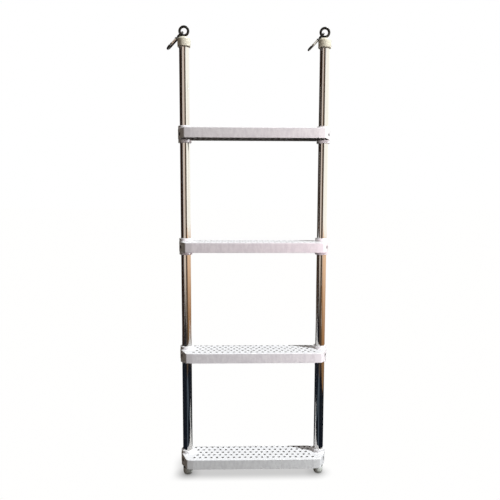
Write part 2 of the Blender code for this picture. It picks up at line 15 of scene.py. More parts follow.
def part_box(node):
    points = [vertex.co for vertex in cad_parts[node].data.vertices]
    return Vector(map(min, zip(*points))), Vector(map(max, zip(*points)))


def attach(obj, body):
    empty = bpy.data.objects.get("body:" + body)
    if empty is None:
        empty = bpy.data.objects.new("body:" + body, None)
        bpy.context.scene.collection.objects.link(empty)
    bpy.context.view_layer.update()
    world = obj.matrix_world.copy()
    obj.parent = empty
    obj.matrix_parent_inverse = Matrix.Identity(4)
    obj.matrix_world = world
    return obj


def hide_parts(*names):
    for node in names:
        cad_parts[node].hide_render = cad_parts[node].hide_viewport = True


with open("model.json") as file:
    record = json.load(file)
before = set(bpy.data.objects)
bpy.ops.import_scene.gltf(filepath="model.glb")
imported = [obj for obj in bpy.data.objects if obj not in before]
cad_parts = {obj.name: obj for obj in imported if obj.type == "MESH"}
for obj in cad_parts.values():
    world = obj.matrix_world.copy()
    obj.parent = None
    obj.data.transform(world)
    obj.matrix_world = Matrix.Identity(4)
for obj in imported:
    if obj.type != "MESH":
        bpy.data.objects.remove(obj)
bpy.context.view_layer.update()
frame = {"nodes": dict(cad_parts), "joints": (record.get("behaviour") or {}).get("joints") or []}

SIDES = {"left": -1, "right": 1}
LADDER = "ladder"


def node_span(node, axis):
    """Lowest and highest coordinate of a node along one axis."""
    low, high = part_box(node)
    return low[axis], high[axis]


# Rails
RAIL_INNER, RAIL_OUTER = node_span("right_rail", 0)
RAIL_BOTTOM, RAIL_TOP = node_span("right_rail", 2)
RAIL_X = (RAIL_INNER + RAIL_OUTER) / 2
RAIL_RADIUS = (RAIL_OUTER - RAIL_INNER) / 2
RAIL_WALL = 0.0012
RAIL_EDGE = 0.0004
CLEARANCE = 0.0003

# Steps
STEP_NODES = [f"step_{number}" for number in (1, 2, 3, 4)]
COLLAR_RISE = 0.008
COLLAR_DROP = 0.009
TREADS = [node_span(node, 2)[1] - COLLAR_RISE for node in STEP_NODES]
STEP_FRONT = -node_span("step_1", 1)[0]
STEP_BACK = node_span("step_1", 1)[1]
SKIRT_HEIGHT = TREADS[0] - node_span("step_1", 2)[0] - COLLAR_DROP
SKIRT_WALL = 0.0028
STEP_PLATE = 0.003
FRONT_FLAT_INSET = 0.018
PANEL_MARGIN = 0.0005           # what lies within this of the front is the streaked front panel
FACET_WIDTH = 0.0175
FACET_SETBACK = 0.0015
BACK_CORNER_INSET = 0.011
COLLAR_WALL = 0.0038
COLLAR_RADIUS = RAIL_RADIUS + CLEARANCE + COLLAR_WALL
COLLAR_LIP = 0.0006
COLLAR_EDGE = 0.0011            # rounding of the collar rims
PLAN_ROUND = 0.0060             # rounding of the step's corners, seen from above
EDGE_ROUND = 0.0018             # rounding along the tread's edge
LIP_ROUND = 0.0008              # rounding along the foot of the skirt
INNER_ROUND = 0.0018            # fillet between skirt and tread, underneath
RIB_THICKNESS = 0.0020
RIB_HEIGHT = 0.012
SEAT_PAINTED_SHADE = 1.2                # painted shade in the counterbores, where drain holes have 1
HOLLOW_PAINTED_SHADE = 1.3              # painted shade in the hollow underneath
SHADE_MARK_MARGIN = 0.0003           # slack in finding the faces that take painted shade

# Drain holes
HOLE_DIAMETER = 0.0065
HOLE_CHAMFER = 0.0003
HOLE_PITCH = 0.015
HOLE_ROW_PITCH = 0.0142
HOLE_FRONT_MARGIN = 0.0139
HOLE_ROWS = 5
HOLE_RAIL_MARGIN = 0.020        # least distance from the end of a row to the rail axis
HOLE_COLLAR_GAP = 0.0080        # least distance from a hole's centre to a collar

# Screws
SCREW_Z = sum(node_span("step_1_right_screw", 2)) / 2 - TREADS[0]
SCREW_TURN = radians(58)        # from straight outwards towards the climber
SCREW_HEAD = 0.004
SCREW_HEAD_HEIGHT = 0.0022
SCREW_LENGTH = 0.010
SCREW_SHANK = 0.002
SCREW_TIP = 0.0006
HEAD_FLAT = 0.25                # share of the head's radius that is flat on top
HEAD_RIM = 0.35                 # and of its height at the rim
SEAT_DEPTH = 0.0024             # into the collar
SEAT_ROOM = 0.0006              # round the head
SEAT_FLOOR = COLLAR_RADIUS - SEAT_DEPTH
SEAT_RADIUS = SCREW_HEAD + SEAT_ROOM
BOSS_WALL = 0.0018              # round the screw's counterbore
RECESS_WIDTH = 0.0011
RECESS_REACH = 0.0021
RECESS_DEPTH = 0.0013

# Caps, eyes and feet
CAP_BOTTOM, CAP_TOP = node_span("right_top_cap", 2)
CAP_RADIUS = node_span("right_top_cap", 0)[1] - RAIL_X
CAP_SHOULDER = 0.0070
CAP_CROWN = 0.004
CAP_EDGE = 0.0010
EYE_SHANK_BOTTOM, EYE_RADIUS = node_span("right_eye_bolt", 2)
EYE_WIRE = 0.0065
EYE_NECK = 0.005
EYE_SHANK = 0.003
EYE_ROOT = (0.0027, 0.004875)   # radius of the stem, and how high above the bottom of the ring
EYE_WAIST = (0.0031, 0.00195)
EYE_FLANGE = 0.0012             # height of the neck's foot
EYE_EDGE = 0.0004
FOOT_BOTTOM, FOOT_STEM_TOP = node_span("right_foot", 2)
FOOT_DOME = 0.010
FOOT_FLAT = 0.006
FOOT_WALL = 0.0025

# Snap hooks
HOOK_LENGTH = 0.060
HOOK_WIRE = 0.005
HOOK_EYE_RADIUS = 0.007
HOOK_NOSE_RADIUS = 0.008
HOOK_SEAT = EYE_RADIUS - EYE_WIRE - HOOK_WIRE / 2 - CLEARANCE
TONGUE_THICKNESS = 0.0024
TONGUE_HEIGHT = 0.0032
TONGUE_TAPER = 0.0035
NOSE_OVERLAP = 0.0040
GATE_RADIUS = 0.0025
GATE_REACH = 0.0202
GATE_HEEL = 0.0024
GATE_EDGE = 0.0009
GATE_END = 0.0006               # flat middle of its ends
SLOT_ROOM = 0.001               # between a tongue and the end of its slot
RIVET_RADIUS = 0.0008
RIVET_HEAD = 0.0015
RIVET_HEAD_HEIGHT = 0.0005
RIVET_TIP = 0.0001
SPRING_RADIUS = 0.0010
SPRING_WIRE = 0.0003
SPRING_PITCH = 0.0012
SPRING_END_WALL = 0.0022

# Fineness of the meshes
ROUND_SIDES = 72
WIRE_SIDES = 24
HOLE_SIDES = 20
ARC_STEPS = 6
EDGE_STEPS = 3                  # round a small edge
TUBE_EDGE_STEPS = 2             # and round the ends of the rails
BEND_STEPS = 36
COIL_STEPS = 18                 # in one turn of a spring
COIL_SIDES = 8
SHARP_ANGLE = radians(38)
SEAM_DISTANCE = 1e-7            # points of a new shape closer than this are one
WELD_DISTANCE = 0.000002        # points that a cut leaves closer than this become one
CUT_ROOM = 0.001                # how far a cutter reaches past what it cuts
LONGEST_FILLET = 0.48           # share of an edge that the rounding of a corner may take


# Meshes

def finish_mesh(bm, name):
    """A mesh from a closed bmesh, faces outwards and smooth apart from its sharp edges."""
    bmesh.ops.remove_doubles(bm, verts=bm.verts, dist=SEAM_DISTANCE)
    bmesh.ops.recalc_face_normals(bm, faces=bm.faces)
    mesh = bpy.data.meshes.new(name)
    bm.to_mesh(mesh)
    bm.free()
    return smoothed(mesh)


def smoothed(mesh):
    mesh.shade_smooth()
    mesh.set_sharp_from_angle(angle=SHARP_ANGLE)
    return mesh


def arc(centre, radius, start, end, steps):
    """Points along an arc, both ends included."""
    angles = [start + (end - start) * index / steps for index in range(steps + 1)]
    return [(centre[0] + radius * cos(angle), centre[1] + radius * sin(angle)) for angle in angles]


def filleted(points, radius, steps=ARC_STEPS, closed=False):
    """A line through points with each corner rounded by an arc of a radius."""
    count = len(points)
    line = []
    for index, point in enumerate(points):
        here = Vector(point)
        if not closed and index in (0, count - 1):
            line.append(tuple(here))
            continue
        back = Vector(points[index - 1]) - here
        ahead = Vector(points[(index + 1) % count]) - here
        half = back.angle(ahead) / 2
        reach = min(radius / tan(half), LONGEST_FILLET * back.length, LONGEST_FILLET * ahead.length)
        bisector = (back.normalized() + ahead.normalized()).normalized()
        centre = here + bisector * hypot(reach, reach * tan(half))
        first = here + back.normalized() * reach - centre
        last = here + ahead.normalized() * reach - centre
        sweep = first.angle_signed(last)
        for step in range(steps + 1):
            spot = first.copy()
            spot.rotate(Matrix.Rotation(-sweep * step / steps, 2))
            line.append(tuple(centre + spot))
    return line


def revolve(bm, profile, sides, place, ring=False):
    """Spin a profile of (radius, height) points round the Z axis of a place and close its ends."""
    known = set(bm.verts)
    verts = [bm.verts.new((radius, 0, height)) for radius, height in profile]
    edges = [bm.edges.new(pair) for pair in zip(verts, verts[1:])]
    if ring:
        edges.append(bm.edges.new((verts[-1], verts[0])))
    bmesh.ops.spin(bm, geom=verts + edges, axis=(0, 0, 1), cent=(0, 0, 0), angle=2 * pi,
                   steps=sides, use_merge=True)
    bmesh.ops.holes_fill(bm, edges=[edge for edge in bm.edges if edge.is_boundary])
    bmesh.ops.transform(bm, matrix=place, verts=[vert for vert in bm.verts if vert not in known])


def revolved_mesh(name, profile, sides, *places, ring=False):
    """A profile spun at each of some places, or at the origin."""
    bm = bmesh.new()
    for place in places or [Matrix()]:
        revolve(bm, profile, sides, place, ring)
    return finish_mesh(bm, name)


def skinned_mesh(name, *stacks):
    """Stacks of equal loops of points, each skinned and closed at both ends."""
    bm = bmesh.new()
    for loops in stacks:
        rings = [[bm.verts.new(point) for point in loop] for loop in loops]
        for lower, upper in zip(rings, rings[1:]):
            for index, vert in enumerate(lower):
                after = (index + 1) % len(lower)
                bm.faces.new((vert, lower[after], upper[after], upper[index]))
        bm.faces.new(reversed(rings[0]))
        bm.faces.new(rings[-1])
    return finish_mesh(bm, name)


def prism(outline, low, high):
    """Loops of an upright prism over an outline."""
    return [[(x, y, height) for x, y in outline] for height in (low, high)]


def box(low, high):
    """Loops of a box, from its lowest corner to its highest."""
    corners = [(low[0], low[1]), (high[0], low[1]), (high[0], high[1]), (low[0], high[1])]
    return prism(corners, low[2], high[2])


def along_x(origin=(0, 0, 0)):
    """A place whose Z axis points along +X from an origin."""
    return Matrix.Translation(origin) @ Matrix.Rotation(pi / 2, 4, "Y")


def inset(outline, distance):
    """Move every edge of a convex counter-clockwise outline inwards by a distance."""
    count = len(outline)
    shifted = []
    for index in range(count):
        before, here, after = (Vector(outline[(index + shift) % count]) for shift in (-1, 0, 1))
        first = (here - before).normalized()
        second = (after - here).normalized()
        normals = Vector((-first.y, first.x)) + Vector((-second.y, second.x))
        corner = here + normals * (distance / (1 + first.dot(second)))
        shifted.append((corner.x, corner.y))
    return shifted


def plain_mesh(thing, name):
    """The evaluated shape of an object as a mesh of its own; the object is removed."""
    graph = bpy.context.evaluated_depsgraph_get()
    mesh = bpy.data.meshes.new_from_object(thing.evaluated_get(graph))
    mesh.name = name
    bpy.data.objects.remove(thing)
    return mesh


def linked(name, data):
    """A new object in the scene."""
    thing = bpy.data.objects.new(name, data)
    bpy.context.scene.collection.objects.link(thing)
    return thing


def scratch(name, mesh):
    """A helper object that never shows."""
    helper = linked(name, mesh)
    helper.hide_render = True
    return helper


def welded(mesh):
    """Join the points that a cut leaves almost touching."""
    bm = bmesh.new()
    bm.from_mesh(mesh)
    bmesh.ops.remove_doubles(bm, verts=bm.verts, dist=WELD_DISTANCE)
    bm.to_mesh(mesh)
    bm.free()
    return mesh


def combined(base, steps, name):
    """The base mesh after a series of (operation, tool mesh) Booleans."""
    work = scratch(name + "_blank", base)
    tools = []
    for operation, tool_mesh in steps:
        tools.append(scratch(name + "_tool", tool_mesh))
        modifier = work.modifiers.new(operation.lower(), "BOOLEAN")
        modifier.operation = operation
        modifier.solver = "EXACT"
        modifier.object = tools[-1]
    mesh = plain_mesh(work, name)
    for tool in tools:
        bpy.data.objects.remove(tool)
    return smoothed(welded(mesh))


def flat_shaded_faces(mesh, name):
    """Keep large flat faces flat beside rounded edges, by weighting normals with face area."""
    work = scratch(name, mesh)
    modifier = work.modifiers.new("flats", "WEIGHTED_NORMAL")
    modifier.keep_sharp = True
    return plain_mesh(work, name)


def moved(mesh, place, name):
    """A copy of a mesh put in its place."""
    copy = mesh.copy()
    copy.name = name
    copy.transform(place)
    return copy


def add_piece(name, mesh, material, body, slot, *nodes):
    """One visible piece, riding on its body and standing for its nodes."""
    piece = linked(name, mesh)
    mesh.materials.clear()
    mesh.materials.append(material)
    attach(piece, body)
    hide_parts(*nodes)


def at_rail(sign, height=0.0):
    """A place on a rail's axis."""
    return Matrix.Translation((sign * RAIL_X, 0, height))


def add_turned_pair(name, node, profile, material, slot, ring=False):
    """A turned piece round each rail's axis."""
    for side, sign in SIDES.items():
        mesh = revolved_mesh(f"{side}_{name}", profile, ROUND_SIDES, at_rail(sign), ring=ring)
        add_piece(f"{side}_{name}", mesh, material, LADDER, slot, f"{side}_{node}")


# Node trees

class Wire:
    """An output socket; arithmetic on it adds Math nodes to its tree."""

    def __init__(self, tree, socket):
        self.tree = tree
        self.socket = socket

    def math(self, operation, *others):
        return self.tree.add("ShaderNodeMath", dict(enumerate((self, *others))), {"operation": operation})

    def __add__(self, other):
        return self.math("ADD", other)

    def __sub__(self, other):
        return self.math("SUBTRACT", other)

    def __mul__(self, other):
        return self.math("MULTIPLY", other)

    def __truediv__(self, other):
        return self.math("DIVIDE", other)

    def __rsub__(self, other):
        return self.math("MULTIPLY", -1.0) + other

    def __lt__(self, other):
        return self.math("LESS_THAN", other)

    __radd__ = __add__
    __rmul__ = __mul__


class Tree:
    """A node tree that is built by adding wired nodes."""

    def __init__(self, nodes):
        self.nodes = nodes

    def add(self, kind, sockets=None, settings=None, output=0):
        """Add a node, set its settings first, then plug values or wires into its sockets."""
        node = self.nodes.nodes.new(kind)
        for name, value in (settings or {}).items():
            setattr(node, name, value)
        for name, value in (sockets or {}).items():
            self.plug(node.inputs[name], value)
        return Wire(self, node.outputs[output]) if node.outputs else None

    def plug(self, socket, value):
        """Set a socket's value, or link a wire or each of a list of wires to it."""
        for source in value if isinstance(value, list) else [value]:
            if isinstance(source, Wire):
                self.nodes.links.new(source.socket, socket)
            else:
                socket.default_value = source


class Shading(Tree):
    """Shader nodes that follow a place on a piece or, in the sky, a direction."""

    def __init__(self, nodes, place):
        super().__init__(nodes)
        self.place = self.add("ShaderNodeTexCoord", output=place)

    def noise(self, scale, detail=2.0, stretch=(1, 1, 1)):
        """Soft noise from 0 to 1, with a number of features per metre and a stretch per axis."""
        spots = self.add("ShaderNodeMapping", {"Vector": self.place, "Scale": stretch})
        return self.add("ShaderNodeTexNoise", {"Vector": spots, "Scale": scale, "Detail": detail})

    def ramp(self, value, low, high, course="SMOOTHSTEP"):
        """0 at a low value, 1 at a high one and smooth or linear between."""
        return self.add("ShaderNodeMapRange", {"Value": value, "From Min": low, "From Max": high},
                        {"interpolation_type": course})

    def blend(self, share, first, second):
        """Mix two colours."""
        colours = [(*colour, 1.0) if isinstance(colour, tuple) else colour for colour in (first, second)]
        return self.add("ShaderNodeMix", {0: share, 6: colours[0], 7: colours[1]}, {"data_type": "RGBA"}, 2)

    def axis(self, name):
        """One coordinate of the place."""
        return self.add("ShaderNodeSeparateXYZ", {"Vector": self.place}, output=name)


class Finish(Shading):
    """A surface finish: a Principled shader and the nodes that feed it."""

    def __init__(self, name):
        self.material = bpy.data.materials.new(name)
        self.material.use_nodes = True
        super().__init__(self.material.node_tree, "Object")
        self.shader = self.nodes.nodes["Principled BSDF"]

    def bump(self, relief, depth, strength=1.0):
        return self.add("ShaderNodeBump", {"Height": relief, "Distance": depth, "Strength": strength})

    def set(self, **inputs):
        """Plug the shader's inputs, named in lower case with underscores."""
        names = {name.lower().replace(" ", "_"): name for name in self.shader.inputs.keys()}
        for name, value in inputs.items():
            self.plug(self.shader.inputs[names[name]], value)
        return self.material

    def use_shader(self, shader):
        """Put another shader in place of the Principled one."""
        self.nodes.nodes.remove(self.shader)
        self.plug(self.nodes.nodes["Material Output"].inputs["Surface"], shader)
        return self.material


# Finishes

def white_moulding():
    """White moulding with a spark-eroded grain, faint mottling, scuffed treads, and painted shade in its
    drain holes, counterbores and hollow underneath.
    """
    finish = Finish("white_moulding")
    grain = finish.noise(1600, 3.0)
    mottle = finish.noise(95, 4.0)
    scuffs = finish.ramp(finish.noise(420, 3.0, (0.12, 1, 1)), 0.56, 0.72)
    grime = finish.add("ShaderNodeAttribute", None, {"attribute_name": "grime"}, "Fac")
    streaks = finish.ramp(finish.noise(120, 4.0, (1, 1, 0.45)), 0.32, 0.68)
    face = PANEL_MARGIN - STEP_FRONT
    panel = (finish.axis("X").math("ABSOLUTE") < RAIL_X - FRONT_FLAT_INSET) * (finish.axis("Y") < face)
    tint = finish.blend(mottle + panel * (streaks - mottle), (0.735, 0.715, 0.745), (0.83, 0.815, 0.835))
    worn = finish.blend(scuffs * 0.22, tint, (0.62, 0.61, 0.62))
    # Painted shade: the marked holes, counterbores and hollow underneath are darkened towards this dark grey
    colour = finish.blend(grime * 0.7, worn, (0.16, 0.145, 0.135))
    return finish.set(base_color=colour, roughness=0.40 + 0.14 * grain + 0.10 * scuffs,
                      normal=finish.bump(grain + 0.6 * mottle + panel * streaks, 0.0003, 0.4))


def bright_tube():
    """Polished tube with faint drawing lines along it and hand smudges."""
    finish = Finish("bright_tube")
    lines = finish.noise(1500, 2.0, (1, 1, 0.01))
    smudge = finish.ramp(finish.noise(26, 4.0, (1, 1, 0.5)), 0.45, 0.75)
    colour = finish.blend(lines, (0.60, 0.585, 0.565), (0.70, 0.69, 0.675))
    return finish.set(base_color=colour, metallic=1.0, roughness=0.055 + 0.05 * lines + 0.09 * smudge,
                      normal=finish.bump(lines, 0.00004, 0.25))


def dark_forging():
    """Polished forging with a slightly uneven skin, painted nearly black as a reflection of dark
    surroundings.
    """
    finish = Finish("dark_forging")
    skin = finish.noise(420, 4.0)
    patches = finish.ramp(finish.noise(160, 3.0), 0.40, 0.70)
    # Painted reflection: a near-black colour stands in for the dark surroundings that the polished steel
    # mirrors
    colour = finish.blend(patches, (0.022, 0.021, 0.020), (0.075, 0.072, 0.069))
    return finish.set(base_color=colour, metallic=1.0, roughness=0.14 + 0.14 * patches,
                      normal=finish.bump(skin, 0.0002, 0.35))


def turned_bar():
    """Turned bar, with fine rings left by the lathe."""
    finish = Finish("turned_bar")
    rings = finish.noise(2600, 2.0)
    colour = finish.blend(rings, (0.66, 0.65, 0.63), (0.76, 0.75, 0.73))
    return finish.set(base_color=colour, metallic=1.0, roughness=0.16 + 0.10 * rings,
                      normal=finish.bump(rings, 0.00006, 0.3))


def brushed_screw():
    """Dark pan-head screws and rivets, lightly brushed; their darkness is painted shade, so that the screws
    read dark in their counterbores.
    """
    finish = Finish("brushed_screw")
    brushed = finish.noise(2200, 2.0, (1, 0.1, 1))
    # Painted shade: a near-black colour stands in for the shade on the screws in their counterbores
    colour = finish.blend(brushed, (0.07, 0.07, 0.072), (0.14, 0.14, 0.143))
    return finish.set(base_color=colour, metallic=1.0, roughness=0.24 + 0.14 * brushed,
                      normal=finish.bump(brushed, 0.00005, 0.4))


def ivory_moulding():
    """Ivory moulding with a fine grain and slight yellowing."""
    finish = Finish("ivory_moulding")
    grain = finish.noise(1900, 3.0)
    yellowing = finish.noise(70, 3.0)
    colour = finish.blend(yellowing, (0.78, 0.73, 0.595), (0.84, 0.79, 0.67))
    return finish.set(base_color=colour, roughness=0.34 + 0.12 * grain,
                      normal=finish.bump(grain, 0.0001, 0.15))


def grey_moulding():
    """Grey-white moulding, scuffed and dirty towards the ground."""
    finish = Finish("grey_moulding")
    grain = finish.noise(1500, 3.0)
    depth = finish.axis("Z") * -1.0 + 0.008 * finish.noise(210, 4.0)
    dirt = finish.ramp(depth, -FOOT_BOTTOM - 0.010, -FOOT_BOTTOM)
    clean = finish.blend(grain, (0.60, 0.605, 0.58), (0.69, 0.69, 0.67))
    colour = finish.blend(dirt * 0.6, clean, (0.33, 0.32, 0.28))
    return finish.set(base_color=colour, roughness=0.48 + 0.2 * dirt,
                      normal=finish.bump(grain, 0.0003, 0.5))


def black_moulding():
    """Black moulding inside the rails."""
    finish = Finish("black_moulding")
    grain = finish.noise(1500, 3.0)
    colour = finish.blend(grain, (0.030, 0.030, 0.032), (0.055, 0.055, 0.058))
    return finish.set(base_color=colour, roughness=0.45 + 0.15 * grain,
                      normal=finish.bump(grain, 0.0002, 0.4))


# Rails, caps and feet

def make_rails(material):
    """Bright tubes with lightly broken ends, drilled for the screws behind the collars."""
    bore = RAIL_RADIUS - RAIL_WALL
    middle = (RAIL_TOP + RAIL_BOTTOM) / 2
    ends = [[(bore, middle), (bore, end), (RAIL_RADIUS, end), (RAIL_RADIUS, middle)]
            for end in (RAIL_TOP, RAIL_BOTTOM)]
    top, bottom = (filleted(corners, RAIL_EDGE, TUBE_EDGE_STEPS) for corners in ends)
    # Rings inside each collar keep the faces round the screw holes short
    bands = [tread + rise for tread in TREADS for rise in (COLLAR_RISE / 2, -SKIRT_HEIGHT)]
    outside = [(RAIL_RADIUS, height) for height in bands]
    inside = [(bore, height) for height in reversed(bands)]
    profile = top[1:-1] + outside + bottom[-2:0:-1] + inside
    for side, sign in SIDES.items():
        tube = revolved_mesh(side + "_tube", profile, ROUND_SIDES, at_rail(sign), ring=True)
        holes = screw_holes(*[tread + SCREW_Z for tread in TREADS])
        mesh = combined(tube, [("DIFFERENCE", holes)], side + "_tube")
        add_piece(side + "_tube", mesh, material, LADDER, "polished_steel", side + "_rail")


def make_caps(material):
    """Domed caps with a rounded rim."""
    bore = EYE_SHANK + CLEARANCE
    sleeve = RAIL_RADIUS + CLEARANCE
    shoulder = (CAP_RADIUS - CAP_SHOULDER, CAP_TOP - CAP_SHOULDER)
    rim = filleted([(CAP_RADIUS, CAP_TOP - CAP_SHOULDER), (CAP_RADIUS, CAP_BOTTOM), (sleeve, CAP_BOTTOM),
                    (sleeve, CAP_TOP - CAP_CROWN)], CAP_EDGE)
    profile = [(bore, CAP_TOP)] + arc(shoulder, CAP_SHOULDER, pi / 2, 0, 2 * ARC_STEPS)
    profile += rim[1:] + [(bore, CAP_TOP - CAP_CROWN)]
    add_turned_pair("cap_moulding", "top_cap", profile, material, "cap_plastic", True)


def make_feet(material):
    """Domed feet with a hollow stem up the rail."""
    stem = RAIL_RADIUS - RAIL_WALL - CLEARANCE
    top = RAIL_BOTTOM - CLEARANCE
    dome_top = FOOT_BOTTOM + FOOT_DOME
    quarter = arc((0, 0), 1, 0, -pi / 2, 2 * ARC_STEPS)
    dome = [(FOOT_FLAT + (RAIL_RADIUS - FOOT_FLAT) * x, dome_top + FOOT_DOME * z) for x, z in quarter]
    hollow = stem - FOOT_WALL
    corners = [(hollow, top), (hollow, FOOT_STEM_TOP), (stem, FOOT_STEM_TOP), (stem, top)]
    profile = corners + filleted([(stem, top), (RAIL_RADIUS, top), dome[0]], CAP_EDGE)[1:] + dome[1:]
    add_turned_pair("foot_moulding", "foot", profile, material, "foot_plastic")


# Steps

def tangent_angle(point, centre, radius, side):
    """Where the tangent from a point touches a circle, as an angle; side picks one of the two."""
    offset = (point[0] - centre[0], point[1] - centre[1])
    return atan2(offset[1], offset[0]) + side * acos(radius / hypot(*offset))


def step_outline():
    """Plan of a step: flat front, turned facets, long corner chamfers, round ends, straight back."""
    radius = COLLAR_RADIUS + COLLAR_LIP
    centre = (RAIL_X, 0)
    flat = (RAIL_X - FRONT_FLAT_INSET, -STEP_FRONT)
    facet = (flat[0] + FACET_WIDTH, flat[1] + FACET_SETBACK)
    back = (RAIL_X - BACK_CORNER_INSET, STEP_BACK)
    start = tangent_angle(facet, centre, radius, 1)
    end = tangent_angle(back, centre, radius, -1)
    end_arc = arc(centre, radius, start, end, 4 * ARC_STEPS)
    line = filleted([(0, -STEP_FRONT), flat, facet, end_arc[0]], PLAN_ROUND)
    right = line[1:] + end_arc[1:] + filleted([end_arc[-1], back, (0, STEP_BACK)], PLAN_ROUND)[1:-1]
    return right + [(-x, y) for x, y in reversed(right)]


def step_tray():
    """Tread plate with rounded edges and the skirt round it, open underneath."""
    outline = step_outline()
    levels = arc((EDGE_ROUND, -EDGE_ROUND), EDGE_ROUND, pi / 2, pi, ARC_STEPS)
    skirt = [(0, -EDGE_ROUND), (0, -SKIRT_HEIGHT), (SKIRT_WALL, -SKIRT_HEIGHT),
             (SKIRT_WALL, -STEP_PLATE - INNER_ROUND)]
    levels += filleted(skirt, LIP_ROUND, EDGE_STEPS)[1:]
    inner_centre = (SKIRT_WALL + INNER_ROUND, -STEP_PLATE - INNER_ROUND)
    levels += arc(inner_centre, INNER_ROUND, pi, pi / 2, ARC_STEPS)[1:]
    loops = [[(x, y, height) for x, y in inset(outline, depth)] for depth, height in levels]
    return skinned_mesh("step_tray", loops)


def collar_posts():
    """Posts with rounded rims, bored later for the rails."""
    low = -SKIRT_HEIGHT - COLLAR_DROP
    waist = (COLLAR_RADIUS, -SKIRT_HEIGHT - LIP_ROUND)
    profile = filleted([(RAIL_RADIUS / 2, COLLAR_RISE), (COLLAR_RADIUS, COLLAR_RISE), waist], COLLAR_EDGE)
    profile += filleted([waist, (COLLAR_RADIUS, low), (RAIL_RADIUS / 2, low)], COLLAR_EDGE)[1:]
    return revolved_mesh("collar_posts", profile, ROUND_SIDES, *map(at_rail, SIDES.values()))


def row_places():
    """Distance of each row of drain holes behind the rail axes."""
    return [-STEP_FRONT + HOLE_FRONT_MARGIN + HOLE_ROW_PITCH * index for index in range(HOLE_ROWS)]


def step_ribs():
    """Ribs along the underside, between the two front rows and the two back rows of holes."""
    rows = row_places()
    reach = RAIL_X - BACK_CORNER_INSET
    half = RIB_THICKNESS / 2
    return skinned_mesh("step_ribs", *[
        box((-reach, y - half, -STEP_PLATE - RIB_HEIGHT), (reach, y + half, -STEP_PLATE / 2))
        for y in ((rows[0] + rows[1]) / 2, (rows[-1] + rows[-2]) / 2)])


def screw_heading(sign):
    """Direction of a rail's screws in plan, turned from straight outwards towards the climber."""
    return atan2(-sin(SCREW_TURN), sign * cos(SCREW_TURN))


def screw_axis(sign, height):
    """A place on a rail's axis whose Z axis points out along a screw."""
    turn = Matrix.Rotation(screw_heading(sign), 4, "Z") @ along_x()
    return at_rail(sign, height) @ turn


def screw_axes(*heights):
    """Such places on both rails at some heights."""
    return [screw_axis(sign, height) for sign in SIDES.values() for height in heights]


def screw_bosses():
    """Bosses round the counterbores, from the collars to the middle of the skirt."""
    radius = SEAT_RADIUS + BOSS_WALL
    rod = [(radius, STEP_FRONT), (radius, (RAIL_RADIUS + COLLAR_RADIUS) / 2)]
    rods = revolved_mesh("boss_rods", rod, 2 * HOLE_SIDES, *screw_axes(SCREW_Z))
    outline = inset(step_outline(), SKIRT_WALL / 2)
    room = skinned_mesh("skirt_room", prism(outline, -SKIRT_HEIGHT, -STEP_PLATE / 2))
    return combined(rods, [("INTERSECT", room)], "screw_bosses")


def screw_holes(*heights):
    """Radial holes for the screws' shanks."""
    radius = SCREW_SHANK + CLEARANCE
    hole = [(radius, COLLAR_RADIUS), (radius, RAIL_RADIUS / 2)]
    return revolved_mesh("screw_holes", hole, HOLE_SIDES, *screw_axes(*heights))


def rail_bores_and_seats():
    """Bores for the rails and counterbores for the screw heads."""
    sleeve = RAIL_RADIUS + CLEARANCE
    far = SKIRT_HEIGHT + COLLAR_DROP + CUT_ROOM
    seat = [(SEAT_RADIUS, STEP_FRONT), (SEAT_RADIUS, SEAT_FLOOR)]
    bore = [(sleeve, COLLAR_RISE + CUT_ROOM), (sleeve, -far)]
    half_side = Matrix.Rotation(pi / ROUND_SIDES, 4, "Z")  # keeps the bore's edges off the posts' edges
    bm = bmesh.new()
    for sign in SIDES.values():
        revolve(bm, bore, ROUND_SIDES, at_rail(sign) @ half_side)
        revolve(bm, seat, 2 * HOLE_SIDES, screw_axis(sign, SCREW_Z))
    return finish_mesh(bm, "rail_bores_and_seats")


def hole_cutter():
    """One drain hole with a chamfered mouth."""
    radius = HOLE_DIAMETER / 2
    profile = [(radius + 2 * HOLE_CHAMFER, HOLE_CHAMFER), (radius, -HOLE_CHAMFER),
               (radius, -STEP_PLATE - CUT_ROOM)]
    return scratch("hole_cutter", revolved_mesh("hole_cutter", profile, HOLE_SIDES))


